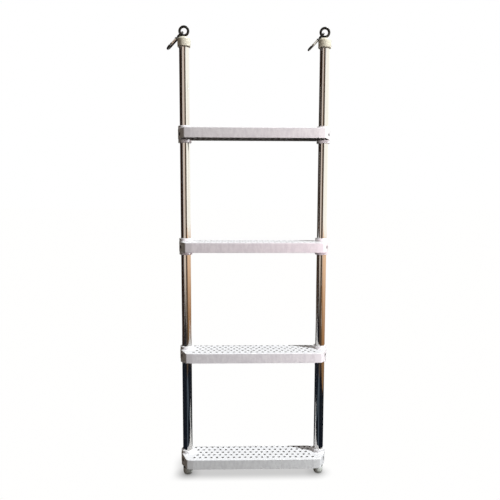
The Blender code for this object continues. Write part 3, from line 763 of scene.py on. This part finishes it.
class Pattern(Tree):
    """A geometry tree with named inputs, each with the value that this object gives it."""

    def __init__(self, name):
        self.group = bpy.data.node_groups.new(name, "GeometryNodeTree")
        super().__init__(self.group)
        self.values = {}
        for way in ("INPUT", "OUTPUT"):
            self.group.interface.new_socket("Geometry", in_out=way, socket_type="NodeSocketGeometry")

    def input(self, name, value):
        """A named input and the value it gets."""
        kinds = {float: "NodeSocketFloat", int: "NodeSocketInt", bpy.types.Object: "NodeSocketObject",
                 bpy.types.Material: "NodeSocketMaterial"}
        socket = self.group.interface.new_socket(name, in_out="INPUT", socket_type=kinds[type(value)])
        self.values[socket.identifier] = value
        return self.add("NodeGroupInput", output=name)

    def vector(self, x=0.0, y=0.0, z=0.0):
        return self.add("ShaderNodeCombineXYZ", {"X": x, "Y": y, "Z": z})

    def copies(self, label, helper, points, rotation=(0, 0, 0)):
        """Real copies of a helper object on points."""
        shape = self.add("GeometryNodeObjectInfo", {"Object": self.input(label, helper)}, output="Geometry")
        placed = self.add("GeometryNodeInstanceOnPoints", {
            "Points": points, "Instance": shape, "Rotation": rotation})
        return self.add("GeometryNodeRealizeInstances", {"Geometry": placed})

    def join(self, parts):
        return self.add("GeometryNodeJoinGeometry", {"Geometry": parts})

    def mesh(self, shape, material, base, name):
        """Realise the pattern with its material on a base mesh, as a plain mesh; its helpers are removed."""
        realised = self.add("GeometryNodeRealizeInstances", {"Geometry": shape})
        finish = self.input("Finish", material)
        dressed = self.add("GeometryNodeSetMaterial", {"Geometry": realised, "Material": finish})
        self.add("NodeGroupOutput", {"Geometry": dressed})
        carrier = scratch(name + "_carrier", base)
        modifier = carrier.modifiers.new(name, "NODES")
        modifier.node_group = self.group
        for identifier, value in self.values.items():
            modifier[identifier] = value
        result = plain_mesh(carrier, name)
        for helper in {value for value in self.values.values() if isinstance(value, bpy.types.Object)}:
            bpy.data.objects.remove(helper)
        return result


def perforated(blank, material):
    """The moulding with its staggered rows of drain holes."""
    tree = Pattern("drain_holes")
    pitch = tree.input("Hole Pitch", HOLE_PITCH)
    row_pitch = tree.input("Row Pitch", HOLE_ROW_PITCH)
    first_row = tree.input("First Row", row_places()[0])
    gap = tree.input("Least Distance To Rail", COLLAR_RADIUS + HOLE_COLLAR_GAP)
    rail_x = tree.input("Rail Place", RAIL_X)
    reach = (RAIL_X - HOLE_RAIL_MARGIN) / HOLE_PITCH
    sets = []
    # Every other row from the front, then the staggered rows between them
    for first, rows, columns in ((0, (HOLE_ROWS + 1) // 2, 2 * int(reach + 0.5)),
                                 (1, HOLE_ROWS // 2, 2 * int(reach) + 1)):
        across = tree.input(f"Columns {first + 1}", columns)
        along = tree.input(f"Rows {first + 1}", rows)
        grid = tree.add("GeometryNodeMeshGrid", {
            "Size X": pitch * (across - 1), "Size Y": row_pitch * 2 * (along - 1),
            "Vertices X": across, "Vertices Y": along})
        middle = first_row + row_pitch * (first + (along - 1))
        sets.append(tree.add("GeometryNodeSetPosition", {"Geometry": grid, "Offset": tree.vector(y=middle)}))
    points = tree.join(sets)
    spot = tree.add("GeometryNodeInputPosition")
    x, y = (tree.add("ShaderNodeSeparateXYZ", {"Vector": spot}, output=axis) for axis in "XY")
    to_rail = tree.vector(rail_x - x.math("ABSOLUTE"), y)
    distance = tree.add("ShaderNodeVectorMath", {0: to_rail}, {"operation": "LENGTH"}, "Value")
    kept = tree.add("GeometryNodeDeleteGeometry", {"Geometry": points, "Selection": distance < gap})
    # The walls of the drain holes are marked for painted shade
    cutters = tree.add("GeometryNodeStoreNamedAttribute", {
        "Geometry": tree.copies("Cutter", hole_cutter(), kept), "Name": "grime", "Value": 1.0},
        {"data_type": "FLOAT", "domain": "FACE"})
    moulding = tree.add("NodeGroupInput", output="Geometry")
    cut = tree.add("GeometryNodeMeshBoolean", {"Mesh 1": moulding, "Mesh 2": cutters},
                   {"operation": "DIFFERENCE", "solver": "EXACT"})
    return tree.mesh(cut, material, blank, "perforated_step")


def in_seat(point):
    """Whether a point in a screw's own space lies on its counterbore."""
    return point.z > SEAT_FLOOR - SHADE_MARK_MARGIN and point.xy.length < SEAT_RADIUS + SHADE_MARK_MARGIN


def mark_painted_shade(mesh):
    """Mark the hollow underneath and the screws' counterbores for painted shade, like the drain holes."""
    inner = [Vector(corner) for corner in inset(step_outline(), SKIRT_WALL - SHADE_MARK_MARGIN)]
    sides = [(start, end - start) for start, end in zip(inner, inner[1:] + inner[:1])]
    seats = [place.inverted() for place in screw_axes(SCREW_Z)]
    for face, dirt in zip(mesh.polygons, mesh.attributes["grime"].data):
        spot = face.center
        corners = [mesh.vertices[index].co for index in face.vertices]
        if any(all(in_seat(seat @ corner) for corner in corners) for seat in seats):
            dirt.value = SEAT_PAINTED_SHADE
        elif -SKIRT_HEIGHT - LIP_ROUND < spot.z < SHADE_MARK_MARGIN - STEP_PLATE:
            if all(along.cross(spot.xy - start) > 0 for start, along in sides):
                dirt.value = HOLLOW_PAINTED_SHADE
    return mesh


def make_steps(material):
    """Four equal mouldings."""
    blank = combined(step_tray(), [
        ("UNION", collar_posts()),
        ("UNION", step_ribs()),
        ("UNION", screw_bosses()),
        ("DIFFERENCE", rail_bores_and_seats()),
        ("DIFFERENCE", screw_holes(SCREW_Z)),
    ], "step_blank")
    shape = smoothed(mark_painted_shade(welded(perforated(blank, material))))
    step = flat_shaded_faces(shape, "step_moulding")
    for node, tread in zip(STEP_NODES, TREADS):
        mesh = moved(step, Matrix.Translation((0, 0, tread)), node + "_moulding")
        add_piece(node + "_moulding", mesh, material, LADDER, "step_plastic", node)


# Screws

def pan_head_screw():
    """A pan-head screw with a cross recess, its seat at the origin and its head towards +Z."""
    crown = arc((0, 0), 1, pi / 2, 0, ARC_STEPS)
    head = [(SCREW_HEAD * (HEAD_FLAT + (1 - HEAD_FLAT) * x),
             SCREW_HEAD_HEIGHT * (HEAD_RIM + (1 - HEAD_RIM) * z)) for x, z in crown]
    profile = head + [(SCREW_HEAD, 0), (SCREW_SHANK, 0), (SCREW_SHANK, SCREW_SHANK - SCREW_LENGTH),
                      (SCREW_TIP, -SCREW_LENGTH)]
    half = RECESS_WIDTH / 2
    quarter = [(RECESS_REACH, -half), (RECESS_REACH, half), (half, half)]
    cross = [Matrix.Rotation(turn * pi / 2, 2) @ Vector(point) for turn in range(4) for point in quarter]
    recess = skinned_mesh("cross_recess", prism(cross, SCREW_HEAD_HEIGHT - RECESS_DEPTH,
                                                SCREW_HEAD_HEIGHT + CUT_ROOM))
    blank = revolved_mesh("screw_blank", profile, 2 * HOLE_SIDES)
    return combined(blank, [("DIFFERENCE", recess)], "pan_head_screw")


def make_screws(material):
    """One screw in each collar, turned towards the climber."""
    tree = Pattern("step_screws")
    count = tree.input("Steps", len(TREADS))
    pitch = tree.input("Step Pitch", TREADS[0] - TREADS[1])
    top = tree.input("Top Screw", TREADS[0] + SCREW_Z)
    rail_x = tree.input("Rail Place", RAIL_X)
    reach = tree.input("Seat From Rail", SEAT_FLOOR + CLEARANCE)
    screw = scratch("pan_head_screw", pan_head_screw())
    sets = []
    for side, sign in SIDES.items():
        heading = screw_heading(sign)
        start = tree.vector(rail_x * sign + reach * cos(heading), reach * sin(heading), top)
        line = tree.add("GeometryNodeMeshLine", {
            "Count": count, "Start Location": start, "Offset": tree.vector(z=pitch * -1.0)})
        sets.append(tree.copies(f"Screw {side}", screw, line, (0, pi / 2, heading)))
    mesh = tree.mesh(tree.join(sets), material, bpy.data.meshes.new("screw_carrier"), "step_screws")
    nodes = [f"{node}_{side}_screw" for node in STEP_NODES for side in SIDES]
    add_piece("step_screws", smoothed(mesh), material, LADDER, "screw_steel", *nodes)


# Eye bolts and snap hooks

def make_eye_bolts(material):
    """A forged ring on a neck, with the shank down through the cap."""
    ring_radius = EYE_RADIUS - EYE_WIRE / 2
    section = arc((ring_radius, 0), EYE_WIRE / 2, 2 * pi, 0, WIRE_SIDES)[:-1]
    neck_bottom = CAP_TOP + CLEARANCE
    corners = [(radius, height - EYE_RADIUS) for radius, height in (EYE_ROOT, EYE_WAIST)]
    corners += [(EYE_NECK, neck_bottom + EYE_FLANGE), (EYE_NECK, neck_bottom), (EYE_SHANK, neck_bottom),
                (EYE_SHANK, EYE_SHANK_BOTTOM)]
    stem = filleted(corners, EYE_EDGE, EDGE_STEPS)
    facing = Matrix.Rotation(pi / 2, 4, "X")
    for side, sign in SIDES.items():
        ring = revolved_mesh("eye_ring", section, ROUND_SIDES, facing, ring=True)
        whole = combined(ring, [("UNION", revolved_mesh("eye_stem", stem, 2 * WIRE_SIDES))], side + "_eye")
        mesh = moved(whole, at_rail(sign), side + "_eye")
        add_piece(side + "_eye", mesh, material, LADDER, "forged_steel", side + "_eye_bolt")


class SnapHookPlan:
    """Flat plan of a snap hook: u runs from the bend in the eye to the free end, v towards the gate."""

    def __init__(self):
        run = HOOK_LENGTH - HOOK_WIRE
        self.eye_bend = Vector((HOOK_EYE_RADIUS, 0))
        self.nose_bend = Vector((run - HOOK_NOSE_RADIUS, 0))
        self.slope = asin((HOOK_NOSE_RADIUS - HOOK_EYE_RADIUS) / (self.nose_bend.x - self.eye_bend.x))
        self.along = Vector((cos(self.slope), sin(self.slope)))
        across = Vector((-sin(self.slope), cos(self.slope)))
        self.nose_root = self.nose_bend + across * HOOK_NOSE_RADIUS - self.along * TONGUE_TAPER
        self.nose_tip = self.nose_root - self.along * NOSE_OVERLAP
        self.pivot = self.nose_root - self.along * (GATE_REACH + CLEARANCE)
        self.pivot_root = self.pivot - self.along * (hypot(GATE_HEEL, GATE_RADIUS) + CLEARANCE)
        self.pivot_slot = TONGUE_HEIGHT / 2 + SLOT_ROOM
        self.nose_slot = (self.nose_tip - self.pivot).length - SLOT_ROOM
        self.spring_length = self.nose_slot - SPRING_END_WALL - self.pivot_slot - 2 * CLEARANCE

    def wire(self):
        """Wire centre from the pivot tongue round both bends to the nose, as (point, flatness)."""
        tip = self.pivot + self.along * (TONGUE_HEIGHT / 2)
        full = self.pivot_root - self.along * TONGUE_TAPER
        first = pi / 2 + self.slope
        last = 3 * pi / 2 - self.slope
        bends = arc(self.eye_bend, HOOK_EYE_RADIUS, first, last, BEND_STEPS)
        bends += arc(self.nose_bend, HOOK_NOSE_RADIUS, last, 2 * pi + first, BEND_STEPS)
        path = [(tip, 1.0), (self.pivot_root, 1.0)]
        path += self.taper(self.pivot_root, full)
        path += [(point, 0.0) for point in [full] + [Vector(bend) for bend in bends]]
        path += reversed(self.taper(self.nose_root, Vector(bends[-1])))
        return path + [(self.nose_root, 1.0), (self.nose_tip, 1.0)]

    @staticmethod
    def taper(flat, full):
        """Points from a flattened tongue to the full wire."""
        shares = [index / ARC_STEPS for index in range(1, ARC_STEPS)]
        return [(flat.lerp(full, share), 0.5 + 0.5 * cos(pi * share)) for share in shares]


def hook_space(point):
    """A plan point in a hook's own space: hanging straight down from the eye, gate to the front."""
    return Vector((0, -point.y, -HOOK_SEAT - point.x))


def rivet_hole(place):
    """Cutter for a rivet's hole along the Z axis of a place."""
    bore = RIVET_RADIUS + CLEARANCE
    return revolved_mesh("rivet_hole", [(bore, HOOK_WIRE), (bore, -HOOK_WIRE)], WIRE_SIDES, place)


def hook_mesh(plan):
    """Bent wire, flattened to a tongue at the gate's pivot and at the nose."""
    path = plan.wire()
    angles = [2 * pi * index / WIRE_SIDES for index in range(WIRE_SIDES)]
    loops = []
    for index, (point, flatness) in enumerate(path):
        before = path[max(index - 1, 0)][0]
        after = path[min(index + 1, len(path) - 1)][0]
        ahead = (after - before).normalized()
        sideways = Vector((-ahead.y, ahead.x))
        thickness = HOOK_WIRE + (TONGUE_THICKNESS - HOOK_WIRE) * flatness
        height = HOOK_WIRE + (TONGUE_HEIGHT - HOOK_WIRE) * flatness
        centre = hook_space(point)
        across = Vector((thickness / 2, 0, 0))
        spread = hook_space(point + sideways * (height / 2)) - centre
        loops.append([centre + across * cos(angle) + spread * sin(angle) for angle in angles])
    hole = rivet_hole(along_x(hook_space(plan.pivot)))
    return combined(skinned_mesh("hook_wire", loops), [("DIFFERENCE", hole)], "hook_wire")


def gate_mesh(plan):
    """Round gate, slotted at both ends for the hook's tongues; Z runs along it from the pivot."""
    ends = [(GATE_END, GATE_REACH), (GATE_RADIUS, GATE_REACH), (GATE_RADIUS, -GATE_HEEL),
            (GATE_END, -GATE_HEEL)]
    bar = revolved_mesh("gate_bar", filleted(ends, GATE_EDGE), 2 * WIRE_SIDES)
    half_slot = TONGUE_THICKNESS / 2 + CLEARANCE
    wide = 2 * GATE_RADIUS
    slots = skinned_mesh(
        "gate_slots",
        box((-half_slot, -wide, -GATE_HEEL - CUT_ROOM), (half_slot, wide, plan.pivot_slot)),
        box((-half_slot, -TONGUE_HEIGHT / 2 - CLEARANCE, plan.nose_slot),
            (half_slot, wide, GATE_REACH + CUT_ROOM)))
    bore = SPRING_RADIUS + SPRING_WIRE + CLEARANCE
    bore_ends = [(bore, plan.nose_slot - SPRING_END_WALL), (bore, TONGUE_HEIGHT / 2)]
    spring_bore = revolved_mesh("spring_bore", bore_ends, WIRE_SIDES)
    return combined(bar, [("DIFFERENCE", slots), ("DIFFERENCE", rivet_hole(along_x())),
                          ("DIFFERENCE", spring_bore)], "gate_bar")


def rivet_mesh():
    """Rivet with a domed head on each side."""
    grip = GATE_RADIUS + CLEARANCE
    dome = [(RIVET_HEAD * x, grip + RIVET_HEAD_HEIGHT * z) for x, z in arc((0, 0), 1, pi / 2, 0, ARC_STEPS)]
    half = [(RIVET_TIP, grip + RIVET_HEAD_HEIGHT)] + dome[1:] + [(RIVET_RADIUS, grip)]
    profile = half + [(radius, -height) for radius, height in reversed(half)]
    return revolved_mesh("rivet", profile, WIRE_SIDES, along_x())


def spring_mesh(plan, material):
    """The coil that closes a gate, along Z from just past the pivot slot."""
    tree = Pattern("gate_spring")
    radius = tree.input("Coil Radius", SPRING_RADIUS)
    wire = tree.input("Wire Radius", SPRING_WIRE)
    length = tree.input("Length", plan.spring_length - 2 * SPRING_WIRE)
    pitch = tree.input("Coil Pitch", SPRING_PITCH)
    low = tree.input("First Turn", plan.pivot_slot + CLEARANCE + SPRING_WIRE)
    coil = tree.add("GeometryNodeCurveSpiral", {
        "Resolution": COIL_STEPS, "Rotations": length / pitch, "Height": length,
        "Start Radius": radius, "End Radius": radius})
    section = tree.add("GeometryNodeCurvePrimitiveCircle", {"Resolution": COIL_SIDES, "Radius": wire})
    tube = tree.add("GeometryNodeCurveToMesh", {"Curve": coil, "Profile Curve": section, "Fill Caps": True})
    raised = tree.add("GeometryNodeTransform", {"Geometry": tube, "Translation": tree.vector(z=low)})
    return tree.mesh(raised, material, bpy.data.meshes.new("spring_carrier"), "spring_coil")


def hook_lean():
    """The hooks' resting lean, from the axis of a gate's hinge, which is square to the hook."""
    axis = next(joint["axis"] for joint in frame["joints"] if joint["name"] == "left_gate_swing")
    return atan2(-axis[2], axis[0])


def make_hooks(wire_finish, gate_finish, rivet_finish):
    """A snap hook in each eye, leaning on its cap, with its gate, rivet and spring."""
    plan = SnapHookPlan()
    pivot = Matrix.Translation(hook_space(plan.pivot))
    gate_place = pivot @ Matrix.Rotation(pi - plan.slope, 4, "X")
    lean = Matrix.Rotation(hook_lean(), 4, "Y")
    parts = [
        ("hook_wire", hook_mesh(plan), Matrix(), wire_finish, "snap_hook", "forged_steel", "hook"),
        ("rivet", rivet_mesh(), pivot, rivet_finish, "snap_hook", "screw_steel", "gate_rivet"),
        ("gate_bar", gate_mesh(plan), gate_place, gate_finish, "snap_gate", "gate_steel", "gate"),
        ("spring_coil", spring_mesh(plan, gate_finish), gate_place, gate_finish, "snap_gate", "gate_steel",
         "gate_spring"),
    ]
    for side, sign in SIDES.items():
        hang = at_rail(sign) @ lean
        for name, shape, place, finish, body, slot, node in parts:
            mesh = smoothed(moved(shape, hang @ place, f"{side}_{name}"))
            add_piece(f"{side}_{name}", mesh, finish, f"{side}_{body}", slot, f"{side}_{node}")


# Studio

IMAGE_SIDE = 500
FOCAL_PIXELS = 526.05
SENSOR_WIDTH = 36.0
CAMERA_PLACE = Vector((-0.0439, -1.3732, -0.4126))
CAMERA_PITCH = radians(5.813)   # down
CAMERA_PAN = radians(1.406)     # to the right
CAMERA_ROLL = radians(0.15)
WHITE = (1.0, 1.0, 1.0)
KEY_DIRECTION = Vector((0.50, -0.25, 0.83))
KEY_STRENGTH = 3.9
KEY_COLOUR = (0.95, 1.0, 1.0)
KEY_SOFTNESS = radians(3)
BACK_DIRECTION = Vector((0, 1, 0.06))
BACK_STRENGTH = 1.5
SKY_LEVEL = 0.32                # light on matt surfaces from above
GROUND_LEVEL = 0.02             # and from below
SKY_EDGE = (-0.25, 0.25)        # rise of the directions between the two
ZENITH_SHARE = 0.25             # of the sky's light, straight overhead
ZENITH_EDGE = (0.25, 0.75)      # rise of the directions where it drops to that
SKY_WARMTH = (1.0, 0.85, 0.66)  # on the left, neutral on the right
SKY_TURN = (-0.5, 0.4)          # sideways part of the directions between the two
FILL_PLACE = (0.52, -0.50)      # in front on the right
FILL_AIM = (0.05, -0.05)
FILL_DROP = 0.006               # below the tread, so that it only grazes that
FILL_RADIUS = 0.05
FILL_CONE = radians(32)
FILL_BLEND = 0.2
CAP_FILL = (8.0, (1.0, 0.96, 0.90))
STEP_FILLS = [(10.2, (1.0, 0.88, 0.89)), (11.0, (1.0, 0.80, 0.86)), (9.2, (1.0, 0.90, 0.94)),
              (4.6, (0.96, 1.0, 0.98))]
FLOOR_REACH = 30.0
FLOOR_COLOUR = (1.0, 0.997, 0.992)
SHADOW_DEPTH = 0.40             # under the bottom step
SHADOW_FRONT = (-0.050, -0.005)
SHADOW_BACK = (0.120, 0.050)
SHADOW_SIDE = (0.215, 0.165)
SHADOW_SHIFT = 0.014            # to the left, away from the key light
CONTACT_DEPTH = 0.80            # close round the feet
CONTACT_REACH = 0.030
CONTACT_SAMPLES = 16
CARD_RISE = 0.002               # over the floor
CARD_FOOT = FOOT_BOTTOM + CARD_RISE
CARD_TOP = 1.2
FRONT_FLAG_TOP = 1.0
TAN_TOP = -0.62
LEFT_FLAG = (-1.3, -1.1, -1.3, 2.5)         # plan of the upright cards, from x, y to x, y
FRONT_FLAG = (-0.15, -0.78, 0.39, -0.78)
CREAM_PANEL = (-1.25, -1.15, -0.16, -0.80)
RIGHT_PANEL = (1.25, -3.0, 1.25, 3.0)
NEAR_FLOOR = (-1.3, -1.6, 0.8, 1.2)         # and of the level ones, from corner to corner
RIGHT_FLOOR = (0.8, -3.0, 1.25, 3.0)
PATH_RISE = 0.001               # of the grey paths over the other floor cards
PATH_NEAR = (-0.08, 0.02)       # place and half width of the ends of the path up to each rail
PATH_FAR = (-0.77, 0.12)
CREAM_FADE = (-1.02, -0.70)     # heights between which the cream card darkens
TAN_FADE = (-1.20, -0.68)       # and the tan one


def make_camera():
    """The photograph's view."""
    right = Vector((cos(CAMERA_PAN), -sin(CAMERA_PAN), 0))
    level_ahead = Vector((sin(CAMERA_PAN), cos(CAMERA_PAN), 0))
    ahead = level_ahead * cos(CAMERA_PITCH) - Vector((0, 0, sin(CAMERA_PITCH)))
    up = right.cross(ahead)
    turned_right = right * cos(CAMERA_ROLL) + up * sin(CAMERA_ROLL)
    turned_up = up * cos(CAMERA_ROLL) - right * sin(CAMERA_ROLL)
    camera = linked("camera", bpy.data.cameras.new("camera"))
    camera.data.sensor_width = SENSOR_WIDTH
    camera.data.lens = SENSOR_WIDTH * FOCAL_PIXELS / IMAGE_SIDE
    axes = Matrix((turned_right, turned_up, -ahead)).transposed().to_4x4()
    camera.matrix_world = Matrix.Translation(CAMERA_PLACE) @ axes
    bpy.context.scene.camera = camera


def make_lamp(name, kind, power, colour, source, place=(0, 0, 0), glints=False, **settings):
    """A lamp whose light comes from a direction; one without glints shows in no reflection."""
    lamp = bpy.data.lights.new(name, kind)
    lamp.energy = power
    lamp.color = colour
    for setting, value in settings.items():
        setattr(lamp, setting, value)
    light = linked(name, lamp)
    light.location = place
    light.rotation_euler = source.to_track_quat("Z", "Y").to_euler()
    light.visible_glossy = glints


def make_lights():
    """A key light, an even light from behind, and a lamp close by for the caps and for each step.

    Those lamps stand on the right, level with what they light, so that front faces fade to the left.
    """
    make_lamp("key", "SUN", KEY_STRENGTH, KEY_COLOUR, KEY_DIRECTION, glints=True, angle=KEY_SOFTNESS)
    make_lamp("back_light", "SUN", BACK_STRENGTH, WHITE, BACK_DIRECTION, angle=KEY_SOFTNESS)
    fills = [("cap_fill", 0.0, CAP_FILL)]
    fills += [(node + "_fill", tread - FILL_DROP, fill)
              for node, tread, fill in zip(STEP_NODES, TREADS, STEP_FILLS)]
    source = (Vector(FILL_PLACE) - Vector(FILL_AIM)).to_3d()
    for name, height, (power, colour) in fills:
        make_lamp(name, "SPOT", power, colour, source, (*FILL_PLACE, height),
                  shadow_soft_size=FILL_RADIUS, spot_size=FILL_CONE, spot_blend=FILL_BLEND)


def make_world():
    """White to the camera and in reflections, and a soft sky over a dim ground for matt surfaces.

    The sky is warm on the left, as if it lit the ladder off a wooden wall.
    """
    world = bpy.data.worlds.new("studio")
    bpy.context.scene.world = world
    world.use_nodes = True
    sky = Shading(world.node_tree, "Generated")
    camera, glossy, clear = (sky.add("ShaderNodeLightPath", output=f"Is {ray} Ray")
                             for ray in ("Camera", "Glossy", "Transmission"))
    seen = camera.math("MAXIMUM", glossy).math("MAXIMUM", clear)
    rise = sky.axis("Z")
    level = GROUND_LEVEL + (SKY_LEVEL - GROUND_LEVEL) * sky.ramp(rise, *SKY_EDGE, "LINEAR")
    dimmed = level * (1.0 - (1.0 - ZENITH_SHARE) * sky.ramp(rise, *ZENITH_EDGE, "LINEAR"))
    neutral = sky.ramp(sky.axis("X"), *SKY_TURN, "LINEAR").math("MAXIMUM", seen)
    background = world.node_tree.nodes["Background"]
    sky.plug(background.inputs["Strength"], dimmed + seen * (1.0 - dimmed))
    sky.plug(background.inputs["Color"], sky.blend(neutral, SKY_WARMTH, WHITE))


def stage_card(name, corners, material, hidden_from):
    """A flat card that is no part of the object, hidden from some kinds of ray."""
    mesh = bpy.data.meshes.new(name)
    mesh.from_pydata(corners, [], [(0, 1, 2, 3)])
    mesh.materials.append(material)
    card = linked(name, mesh)
    for ray in hidden_from:
        setattr(card, "visible_" + ray, False)


def make_floor():
    """White floor with a soft shadow under the bottom step and round the feet, and clear from below."""
    finish = Finish("floor")
    along = finish.axis("Y")
    sideways = (finish.axis("X") + SHADOW_SHIFT).math("ABSOLUTE")
    shadow = SHADOW_DEPTH
    for value, edges in ((along, SHADOW_FRONT), (along, SHADOW_BACK), (sideways, SHADOW_SIDE)):
        shadow = shadow * finish.ramp(value, *edges)
    open_sky = finish.add("ShaderNodeAmbientOcclusion", {"Distance": CONTACT_REACH},
                          {"samples": CONTACT_SAMPLES}, "AO")
    contact = CONTACT_DEPTH * (1.0 - open_sky)
    glow = finish.add("ShaderNodeEmission", {
        "Color": (*FLOOR_COLOUR, 1.0), "Strength": (1.0 - shadow) * (1.0 - contact)})
    underneath = finish.add("ShaderNodeNewGeometry", output="Backfacing")
    glass = finish.add("ShaderNodeBsdfTransparent")
    surface = finish.add("ShaderNodeMixShader", {0: underneath, 1: glow, 2: glass})
    corners = level((-FLOOR_REACH, -FLOOR_REACH, FLOOR_REACH, FLOOR_REACH), FOOT_BOTTOM)
    stage_card("floor", corners, finish.use_shader(surface), ["diffuse"])


def reflection_card(name, corners, colour, foot=None, fade=None):
    """A card that shows only in reflections and may fade to another colour towards its foot."""
    finish = Finish(name)
    tint = finish.blend(finish.ramp(finish.axis("Z"), *fade), foot, colour) if foot else (*colour, 1.0)
    glow = finish.add("ShaderNodeEmission", {"Color": tint, "Strength": 1.0})
    stage_card(name, corners, finish.use_shader(glow),
               ["camera", "diffuse", "transmission", "volume_scatter", "shadow"])


def upright(line, low, high):
    """Corners of an upright card over a line on the floor."""
    x0, y0, x1, y1 = line
    return [(x0, y0, low), (x1, y1, low), (x1, y1, high), (x0, y0, high)]


def level(area, height):
    """Corners of a level card."""
    x0, y0, x1, y1 = area
    return [(x0, y0, height), (x1, y0, height), (x1, y1, height), (x0, y1, height)]


def wedge(sign, height):
    """Corners of a level card that widens from a rail towards the camera."""
    ends = []
    for y, half in (PATH_NEAR, PATH_FAR):
        x = sign * RAIL_X + (CAMERA_PLACE.x - sign * RAIL_X) * y / CAMERA_PLACE.y
        ends.append([(x - half, y, height), (x + half, y, height)])
    return ends[0] + ends[1][::-1]


def make_reflections():
    """Dark flags and warm, grey and dark floor cards, which give the polished steel its streaks."""
    reflection_card("left_flag", upright(LEFT_FLAG, CARD_FOOT, CARD_TOP), (0.034, 0.020, 0.014))
    reflection_card("front_flag", upright(FRONT_FLAG, CARD_FOOT, FRONT_FLAG_TOP), (0.110, 0.074, 0.048))
    reflection_card("cream_panel", upright(CREAM_PANEL, CARD_FOOT, CARD_TOP), (0.87, 0.735, 0.63),
                    (0.015, 0.015, 0.018), CREAM_FADE)
    reflection_card("near_floor", level(NEAR_FLOOR, CARD_FOOT), (0.008, 0.011, 0.018))
    for side, sign in SIDES.items():
        reflection_card(side + "_path", wedge(sign, CARD_FOOT + PATH_RISE), (0.083, 0.110, 0.140))
    reflection_card("right_floor", level(RIGHT_FLOOR, CARD_FOOT), (0.36, 0.20, 0.09))
    reflection_card("tan_panel", upright(RIGHT_PANEL, CARD_FOOT, TAN_TOP), (1.12, 0.75, 0.49),
                    (0.44, 0.21, 0.08), TAN_FADE)
    reflection_card("right_panel", upright(RIGHT_PANEL, TAN_TOP, CARD_TOP), (1.45, 1.42, 1.30))


def dress_rail_plugs(material):
    """The threaded plugs keep their solids' shape."""
    for side in SIDES:
        plug = frame["nodes"][side + "_rail_plug"]
        plug.data.materials.clear()
        plug.data.materials.append(material)


def main():
    forging, screw_finish = dark_forging(), brushed_screw()
    make_rails(bright_tube())
    make_steps(white_moulding())
    make_screws(screw_finish)
    make_caps(ivory_moulding())
    make_eye_bolts(forging)
    make_hooks(forging, turned_bar(), screw_finish)
    make_feet(grey_moulding())
    dress_rail_plugs(black_moulding())
    make_camera()
    make_lights()
    make_world()
    make_floor()
    make_reflections()
    bpy.context.scene.view_settings.view_transform = "Standard"


main()
